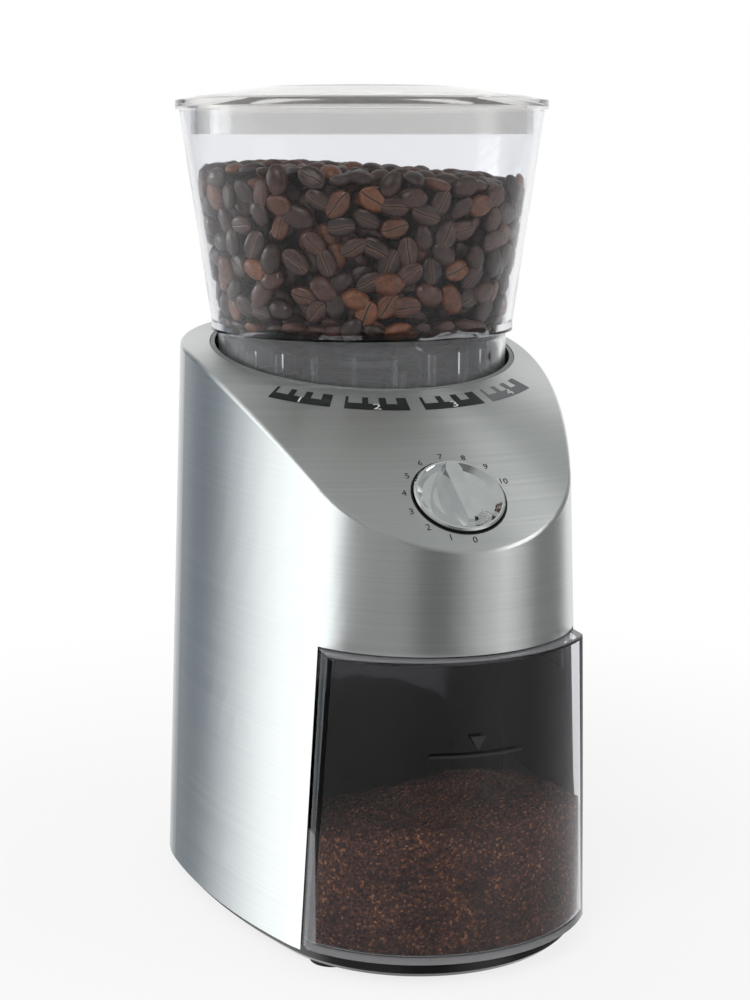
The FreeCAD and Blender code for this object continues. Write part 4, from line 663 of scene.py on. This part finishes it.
grounds_finish = ground_finish()
heap.data.materials.append(grounds_finish)
grain_shape = bmesh.new()
bmesh.ops.create_icosphere(grain_shape, subdivisions=1, radius=0.45 * MM)
for vertex in grain_shape.verts:
    vertex.co.x *= 1.25
    vertex.co.z *= 0.8
grain_mesh = bpy.data.meshes.new("grain_shape")
grain_shape.to_mesh(grain_mesh)
grain_shape.free()
grain_object = bpy.data.objects.new("grain_shape", grain_mesh)
bpy.context.scene.collection.objects.link(grain_object)
grain_tree = scatter_tree("scatter_grains", grain_object, grounds_finish, "grain_tone")
top_faces = bmesh.new()
top_faces.from_mesh(heap.data)
steep_faces = [face for face in top_faces.faces if face.normal.z < 0.5]
bmesh.ops.delete(top_faces, geom=steep_faces, context="FACES")
top_mesh = bpy.data.meshes.new("heap_top")
top_faces.to_mesh(top_mesh)
top_faces.free()
grains = grow(
    "coffee_grains", top_mesh, grain_tree, Distance=0.95 * MM, Density=2000000.0, Lean=0.9, Smallest=0.6,
    Largest=1.25, Flip=0.5, Seed=5)
bpy.data.objects.remove(grain_object)
for piece in (heap, grains):
    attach(piece, "container")
    print(piece.name, "faces:", len(piece.data.polygons))
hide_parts("ground_coffee")

# %% [markdown]
# ## Prints on the dome
# The grind scale and the timer's numerals are printed on the steel. They are flat outlines first, and each
# of their points is then moved straight out from the dome's middle until it lies just above the steel.

# %% Print tools
PRINT_LIFT = 0.05


def ink(name, dark, light):
    return moulded(name, dark, light, 0.45, 0.8, 0.05)


black_ink = ink("black_print", "#17181a", "#222325")
grey_ink = ink("worn_black_print", "#55585a", "#6a6d6e")
pale_ink = ink("pale_print", "#c9cbc9", "#d9dbd8")


def on_dome(spot):
    """Point of the dome, in metres, on the line from its middle through a spot in millimetres."""
    return (DOME_MIDDLE + (spot - DOME_MIDDLE).normalized() * (DOME_RADIUS + PRINT_LIFT)) * MM


def print_piece(name, mesh, finish, body="housing"):
    mesh.materials.clear()
    mesh.materials.append(finish)
    piece = bpy.data.objects.new(name, mesh)
    bpy.context.scene.collection.objects.link(piece)
    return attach(piece, body)


def lettering(text, height):
    """Flat mesh of plain figures, centred, in millimetres."""
    curve = bpy.data.curves.new("figures", "FONT")
    curve.body = text
    curve.align_x = "CENTER"
    curve.align_y = "CENTER"
    curve.size = height / 0.72
    curve.resolution_u = 3
    thing = bpy.data.objects.new("figures", curve)
    bpy.context.scene.collection.objects.link(thing)
    view = bpy.context.evaluated_depsgraph_get()
    mesh = bpy.data.meshes.new_from_object(thing.evaluated_get(view), depsgraph=view)
    bpy.data.objects.remove(thing)
    return mesh


# %% [markdown]
# ## Timer numerals
# Eleven plain numerals stand around the dial on a circle of 18.2 mm, 25.2 degrees apart, upright as seen
# from the front.

# %% Numerals 0 to 10
NUMERAL_CIRCLE, NUMERAL_STEP, NUMERAL_START, NUMERAL_HEIGHT = 18.2, -25.2, -89.0, 2.5
figures = bmesh.new()
for number in range(11):
    angle = math.radians(NUMERAL_START + NUMERAL_STEP * number)
    mesh = lettering(str(number), NUMERAL_HEIGHT)
    middle_u, middle_v = NUMERAL_CIRCLE * math.cos(angle), NUMERAL_CIRCLE * math.sin(angle)
    for vertex in mesh.vertices:
        u, v = vertex.co.x + middle_u, vertex.co.y + middle_v
        vertex.co = on_dome(DIAL_MIDDLE + DIAL_RIGHT * u + DIAL_UP * v)
    figures.from_mesh(mesh)
numeral_mesh = bpy.data.meshes.new("timer_numerals")
figures.to_mesh(numeral_mesh)
figures.free()
print_piece("timer_numerals", numeral_mesh, black_ink)
print("numerals:", len(numeral_mesh.polygons), "faces")

# %% [markdown]
# ## Grind scale
# Four comb-shaped blocks stand along the hopper. Each has a band with a light number and four teeth of
# growing width that point at the hopper. The last one is worn and looks grey.

# %% Grind scale
SCALE_BLOCKS = [(-46.5, -27.2), (-23.1, -3.6), (1.0, 21.5), (25.0, 44.7)]
TOOTH_SPANS = [(0.0, 0.05), (0.27, 0.37), (0.54, 0.66), (0.83, 1.0)]
TOOTH_TIP, BAND_INNER, BAND_OUTER = 59.8, 63.2, 66.6
LABEL_RADIUS, LABEL_HEIGHT, LABEL_SPREAD = 64.9, 3.0, 1.5 / 65.0


def scale_spot(radius, angle):
    """Place on the dome at a radius and an angle about the hopper's axis, the front being 0."""
    turn = math.radians(angle)
    x, y = radius * math.sin(turn), HOPPER_Y - radius * math.cos(turn)
    z = DOME_MIDDLE.z + math.sqrt(DOME_RADIUS ** 2 - x * x - (y - DOME_MIDDLE.y) ** 2)
    return on_dome(Vector((x, y, z)))


def scale_patch(shape, inner, outer, start, end):
    """Patch between two radii and two angles, in steps of about a degree."""
    steps = max(1, round(abs(end - start)))
    rows = []
    for step in range(steps + 1):
        angle = start + (end - start) * step / steps
        rows.append((shape.verts.new(scale_spot(inner, angle)), shape.verts.new(scale_spot(outer, angle))))
    for (a, b), (d, c) in zip(rows, rows[1:]):
        shape.faces.new((a, b, c, d))


for number, (start, end) in enumerate(SCALE_BLOCKS, start=1):
    shape = bmesh.new()
    scale_patch(shape, BAND_INNER, BAND_OUTER, start, end)
    for low, high in TOOTH_SPANS:
        scale_patch(shape, TOOTH_TIP, BAND_INNER, start + (end - start) * low, start + (end - start) * high)
    block_mesh = bpy.data.meshes.new(f"grind_block_{number}")
    shape.to_mesh(block_mesh)
    shape.free()
    print_piece(f"grind_block_{number}", block_mesh, grey_ink if number == 4 else black_ink)
    label = lettering(str(number), LABEL_HEIGHT)
    middle = (start + end) / 2
    for vertex in label.vertices:
        angle = middle + math.degrees(vertex.co.x * LABEL_SPREAD)
        vertex.co = scale_spot(LABEL_RADIUS - vertex.co.y, angle) + DIAL_OUT * 0.03 * MM
    print_piece(f"grind_number_{number}", label, pale_ink)
print("scale blocks:", len(SCALE_BLOCKS))

# %% [markdown]
# ## Marks on the dial, the collar and the container
# A black dot on the dial points at the numerals, and another one stands on the hopper's collar. The
# container has a dark fill line with a small triangle above it, on its round front.

# %% Marks


def disc_mesh(name, middle, right, up, radius, steps=24):
    shape = bmesh.new()
    ring = [
        shape.verts.new((middle + right * radius * math.cos(math.tau * step / steps)
                         + up * radius * math.sin(math.tau * step / steps)) * MM)
        for step in range(steps)
    ]
    shape.faces.new(ring)
    mesh = bpy.data.meshes.new(name)
    shape.to_mesh(mesh)
    shape.free()
    return mesh


def dial_dish(right, up):
    """Place on the dial's dish and the way it faces there, found by a ray from outside."""
    above = (DIAL_MIDDLE + DIAL_RIGHT * right + DIAL_UP * up + DIAL_OUT * 20.0) * MM
    _, spot, facing, _ = frame["nodes"]["timer_dial"].ray_cast(above, -DIAL_OUT)
    return spot / MM, facing


dish, facing = dial_dish(3.4, -8.5)
dot_right = (DIAL_RIGHT - facing * DIAL_RIGHT.dot(facing)).normalized()
dot_mesh = disc_mesh("dial_dot", dish + facing * 0.12, dot_right, facing.cross(dot_right), 1.1)
print_piece("dial_dot", dot_mesh, black_ink, "dial")
COLLAR_RADIUS, DOT_TURN, DOT_LEVEL = 52.68, math.radians(41.0), 199.0
collar_out = Vector((math.sin(DOT_TURN), -math.cos(DOT_TURN), 0.0))
collar_spot = Vector((0.0, HOPPER_Y, DOT_LEVEL)) + collar_out * COLLAR_RADIUS
collar_side = Vector((math.cos(DOT_TURN), math.sin(DOT_TURN), 0.0)) * 0.6
collar_mesh = disc_mesh("collar_dot", collar_spot, collar_side, Vector((0.0, 0.0, 1.0)), 1.4)
print_piece("collar_dot", collar_mesh, black_ink, "hopper")


PANEL_RADIUS, LINE_LOW, LINE_HIGH, LINE_REACH, LINE_STEPS = 60.35, 79.6, 80.3, 15.5, 24
TRIANGLE = [(0.0, 81.8), (2.6, 86.4), (-2.6, 86.4)]


def panel_spot(angle, level):
    """Place on the container's round front at an angle from the front, in metres."""
    turn = math.radians(angle)
    return Vector((
        PANEL_RADIUS * math.sin(turn), FRONT_MIDDLE - PANEL_RADIUS * math.cos(turn), level)) * MM


shape = bmesh.new()
rows = []
for step in range(LINE_STEPS + 1):
    angle = LINE_REACH * (2 * step / LINE_STEPS - 1)
    rows.append([shape.verts.new(panel_spot(angle, level)) for level in (LINE_LOW, LINE_HIGH)])
for (a, b), (d, c) in zip(rows, rows[1:]):
    shape.faces.new((a, d, c, b))
shape.faces.new([shape.verts.new(panel_spot(angle, level)) for angle, level in TRIANGLE])
line_mesh = bpy.data.meshes.new("fill_line")
shape.to_mesh(line_mesh)
shape.free()
line_ink = ink("smoked_line", "#1d1d20", "#2a2a2e")
print_piece("fill_line", line_mesh, line_ink, "container")
print("marks made")

# %% [markdown]
# ## Floor, world and lamps
# The floor is plain and pale, and the camera sees a white world. Metal and clear plastic show a studio
# room of a few plain surfaces, each given by the angles at which it starts and ends, the front being 0
# and the left negative. The wall behind is white, a wide window stands at the left, and the walls towards
# the camera are dim, with a dark door in the middle and a pale panel at the right. The window draws the
# bright stripe along the body. It outshines white paper, so all tones are written at half brightness.

# %% Floor
floor_mesh = bpy.data.meshes.new("studio_floor")
floor_mesh.from_pydata([(-6, -6, 0), (6, -6, 0), (6, 6, 0), (-6, 6, 0)], [], [(0, 1, 2, 3)])
floor = bpy.data.objects.new("studio_floor", floor_mesh)
bpy.context.scene.collection.objects.link(floor)
floor.visible_glossy = False
floor_finish = bpy.data.materials.new("pale_paper_floor")
floor_finish.use_nodes = True
floor_tree = floor_finish.node_tree
floor_tree.nodes.clear()
seen = add(floor_tree, "ShaderNodeLightPath").outputs
paper = add(floor_tree, "ShaderNodeBsdfDiffuse", {"Color": srgb("#eeeeee")})
white = add(floor_tree, "ShaderNodeEmission", {"Color": srgb("#ffffff"), "Strength": 1.0})
plain = add(floor_tree, "ShaderNodeMath", {0: seen["Is Camera Ray"], 1: seen["Is Transmission Ray"]},
            operation="MAXIMUM")
spot = add(floor_tree, "ShaderNodeTexCoord").outputs["Object"]
reach = add(floor_tree, "ShaderNodeVectorMath", {0: spot}, operation="LENGTH")
fade = add(floor_tree, "ShaderNodeMapRange", {
    "Value": reach.outputs["Value"], "From Min": 0.10, "From Max": 0.45, "To Min": 0.80, "To Max": 1.0},
    interpolation_type="SMOOTHSTEP")
share = add(floor_tree, "ShaderNodeMath", {0: plain.outputs[0], 1: fade.outputs["Result"]},
            operation="MULTIPLY")
blend = add(floor_tree, "ShaderNodeMixShader", {
    "Fac": share.outputs[0], 1: paper.outputs[0], 2: white.outputs[0]})
add(floor_tree, "ShaderNodeOutputMaterial", {"Surface": blend.outputs[0]})
floor_mesh.materials.append(floor_finish)
floor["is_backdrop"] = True

# %% World
world = bpy.data.worlds.new("studio")
bpy.context.scene.world = world
world.use_nodes = True
sky = world.node_tree
sky.nodes.clear()
way = add(sky, "ShaderNodeSeparateXYZ", {"Vector": add(sky, "ShaderNodeTexCoord").outputs["Generated"]})
ahead = add(sky, "ShaderNodeMath", {0: way.outputs["Y"], 1: -1.0}, operation="MULTIPLY")
angle = add(sky, "ShaderNodeMath", {0: way.outputs["X"], 1: ahead.outputs[0]}, operation="ARCTAN2")
around = add(sky, "ShaderNodeMapRange", {
    "Value": angle.outputs[0], "From Min": -math.pi, "From Max": math.pi})
WHITE_WALL, GREY_WALL, DIM_WALL = "#bcbcbc", "#767676", "#626262"
SHADED_CORNER, WINDOW, DARK_DOOR, SIDE_PANEL = "#4a525a", "#f2f4f5", "#505050", "#9a9a9a"
ROOM_SURFACES = [
    (-180, -173, WHITE_WALL), (-160, -148, SHADED_CORNER), (-128, -98, WINDOW), (-82, -35, GREY_WALL),
    (-18, 0, DARK_DOOR), (28, 42, SIDE_PANEL), (60, 108, DIM_WALL), (126, 180, WHITE_WALL),
]
room_stops = [
    ((angle + 180) / 360, tone) for first, last, tone in ROOM_SURFACES for angle in (first, last)]
ROOM_STRENGTH = 2.0
walls = add(sky, "ShaderNodeValToRGB", {"Fac": around.outputs["Result"]}, room_stops)
above = add(sky, "ShaderNodeMapRange", {
    "Value": way.outputs["Z"], "From Min": 0.30, "From Max": 0.75}, interpolation_type="SMOOTHSTEP")
room = add(sky, "ShaderNodeMix", {
    "Factor": above.outputs["Result"], 6: walls.outputs["Color"], 7: srgb("#858785")}, data_type="RGBA")
bright_room = add(sky, "ShaderNodeVectorMath", {0: room.outputs[2], "Scale": ROOM_STRENGTH},
                  operation="SCALE")
rays = add(sky, "ShaderNodeLightPath").outputs
in_glass = add(sky, "ShaderNodeMath", {0: rays["Is Glossy Ray"], 1: rays["Is Transmission Ray"]},
               operation="MAXIMUM")
mirror = add(sky, "ShaderNodeMix", {
    "Factor": in_glass.outputs[0], 6: srgb("#b6b6b6"), 7: bright_room.outputs["Vector"]}, data_type="RGBA")
shown = add(sky, "ShaderNodeMix", {
    "Factor": rays["Is Camera Ray"], 6: mirror.outputs[2], 7: srgb("#ffffff")}, data_type="RGBA")
backdrop = add(sky, "ShaderNodeBackground", {"Color": shown.outputs[2], "Strength": 1.0})
add(sky, "ShaderNodeOutputWorld", {"Surface": backdrop.outputs[0]})

# %% Lamps


def soft_box(name, spot, aim, width, watts, mirrored):
    """Square lamp that looks at a point. Metal shows it only where it is mirrored."""
    lamp = bpy.data.lights.new(name, "AREA")
    lamp.size = width
    lamp.energy = watts
    thing = bpy.data.objects.new(name, lamp)
    thing.location = spot
    thing.rotation_euler = (Vector(aim) - Vector(spot)).to_track_quat("-Z", "Y").to_euler()
    thing.visible_glossy = mirrored
    bpy.context.scene.collection.objects.link(thing)


soft_box("key_soft_box", (-0.9, -1.1, 1.35), (0, 0, 0.15), 0.9, 13, False)
soft_box("back_soft_box", (-1.15, 0.75, 0.45), (0, 0, 0.12), 0.55, 5, False)
soft_box("fill_soft_box", (1.2, -0.9, 0.8), (0, 0, 0.15), 0.8, 5, True)
print("lamps set")

# %% [markdown]
# ## Camera
# The camera stands a little left of the front, slightly above the top of the body, and looks down at it.
# Its distance and lens come from matching the round rims and the edges of the body in the photograph.

# %% Camera
YAW, DISTANCE, HEIGHT, PITCH = -17.849, 723.164, 273.764, 11.483
SENSOR, LENS = 36.0, 70.907976
camera = bpy.data.objects.new("camera", bpy.data.cameras.new("camera"))
bpy.context.scene.collection.objects.link(camera)
turn = math.radians(YAW)
camera.location = Vector((
    DISTANCE * math.sin(turn), HOPPER_Y - DISTANCE * math.cos(turn), HEIGHT)) * MM
camera.rotation_euler = (math.radians(90 - PITCH), 0.0, turn)
camera.data.sensor_width = SENSOR
camera.data.lens = LENS
camera.data.shift_x = 0.013
camera.data.shift_y = 0.0407
bpy.context.scene.camera = camera
bpy.context.scene.view_settings.view_transform = "Standard"
print("camera at", [round(v, 3) for v in camera.location])

# %% Bounds of the shown solids
low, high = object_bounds()
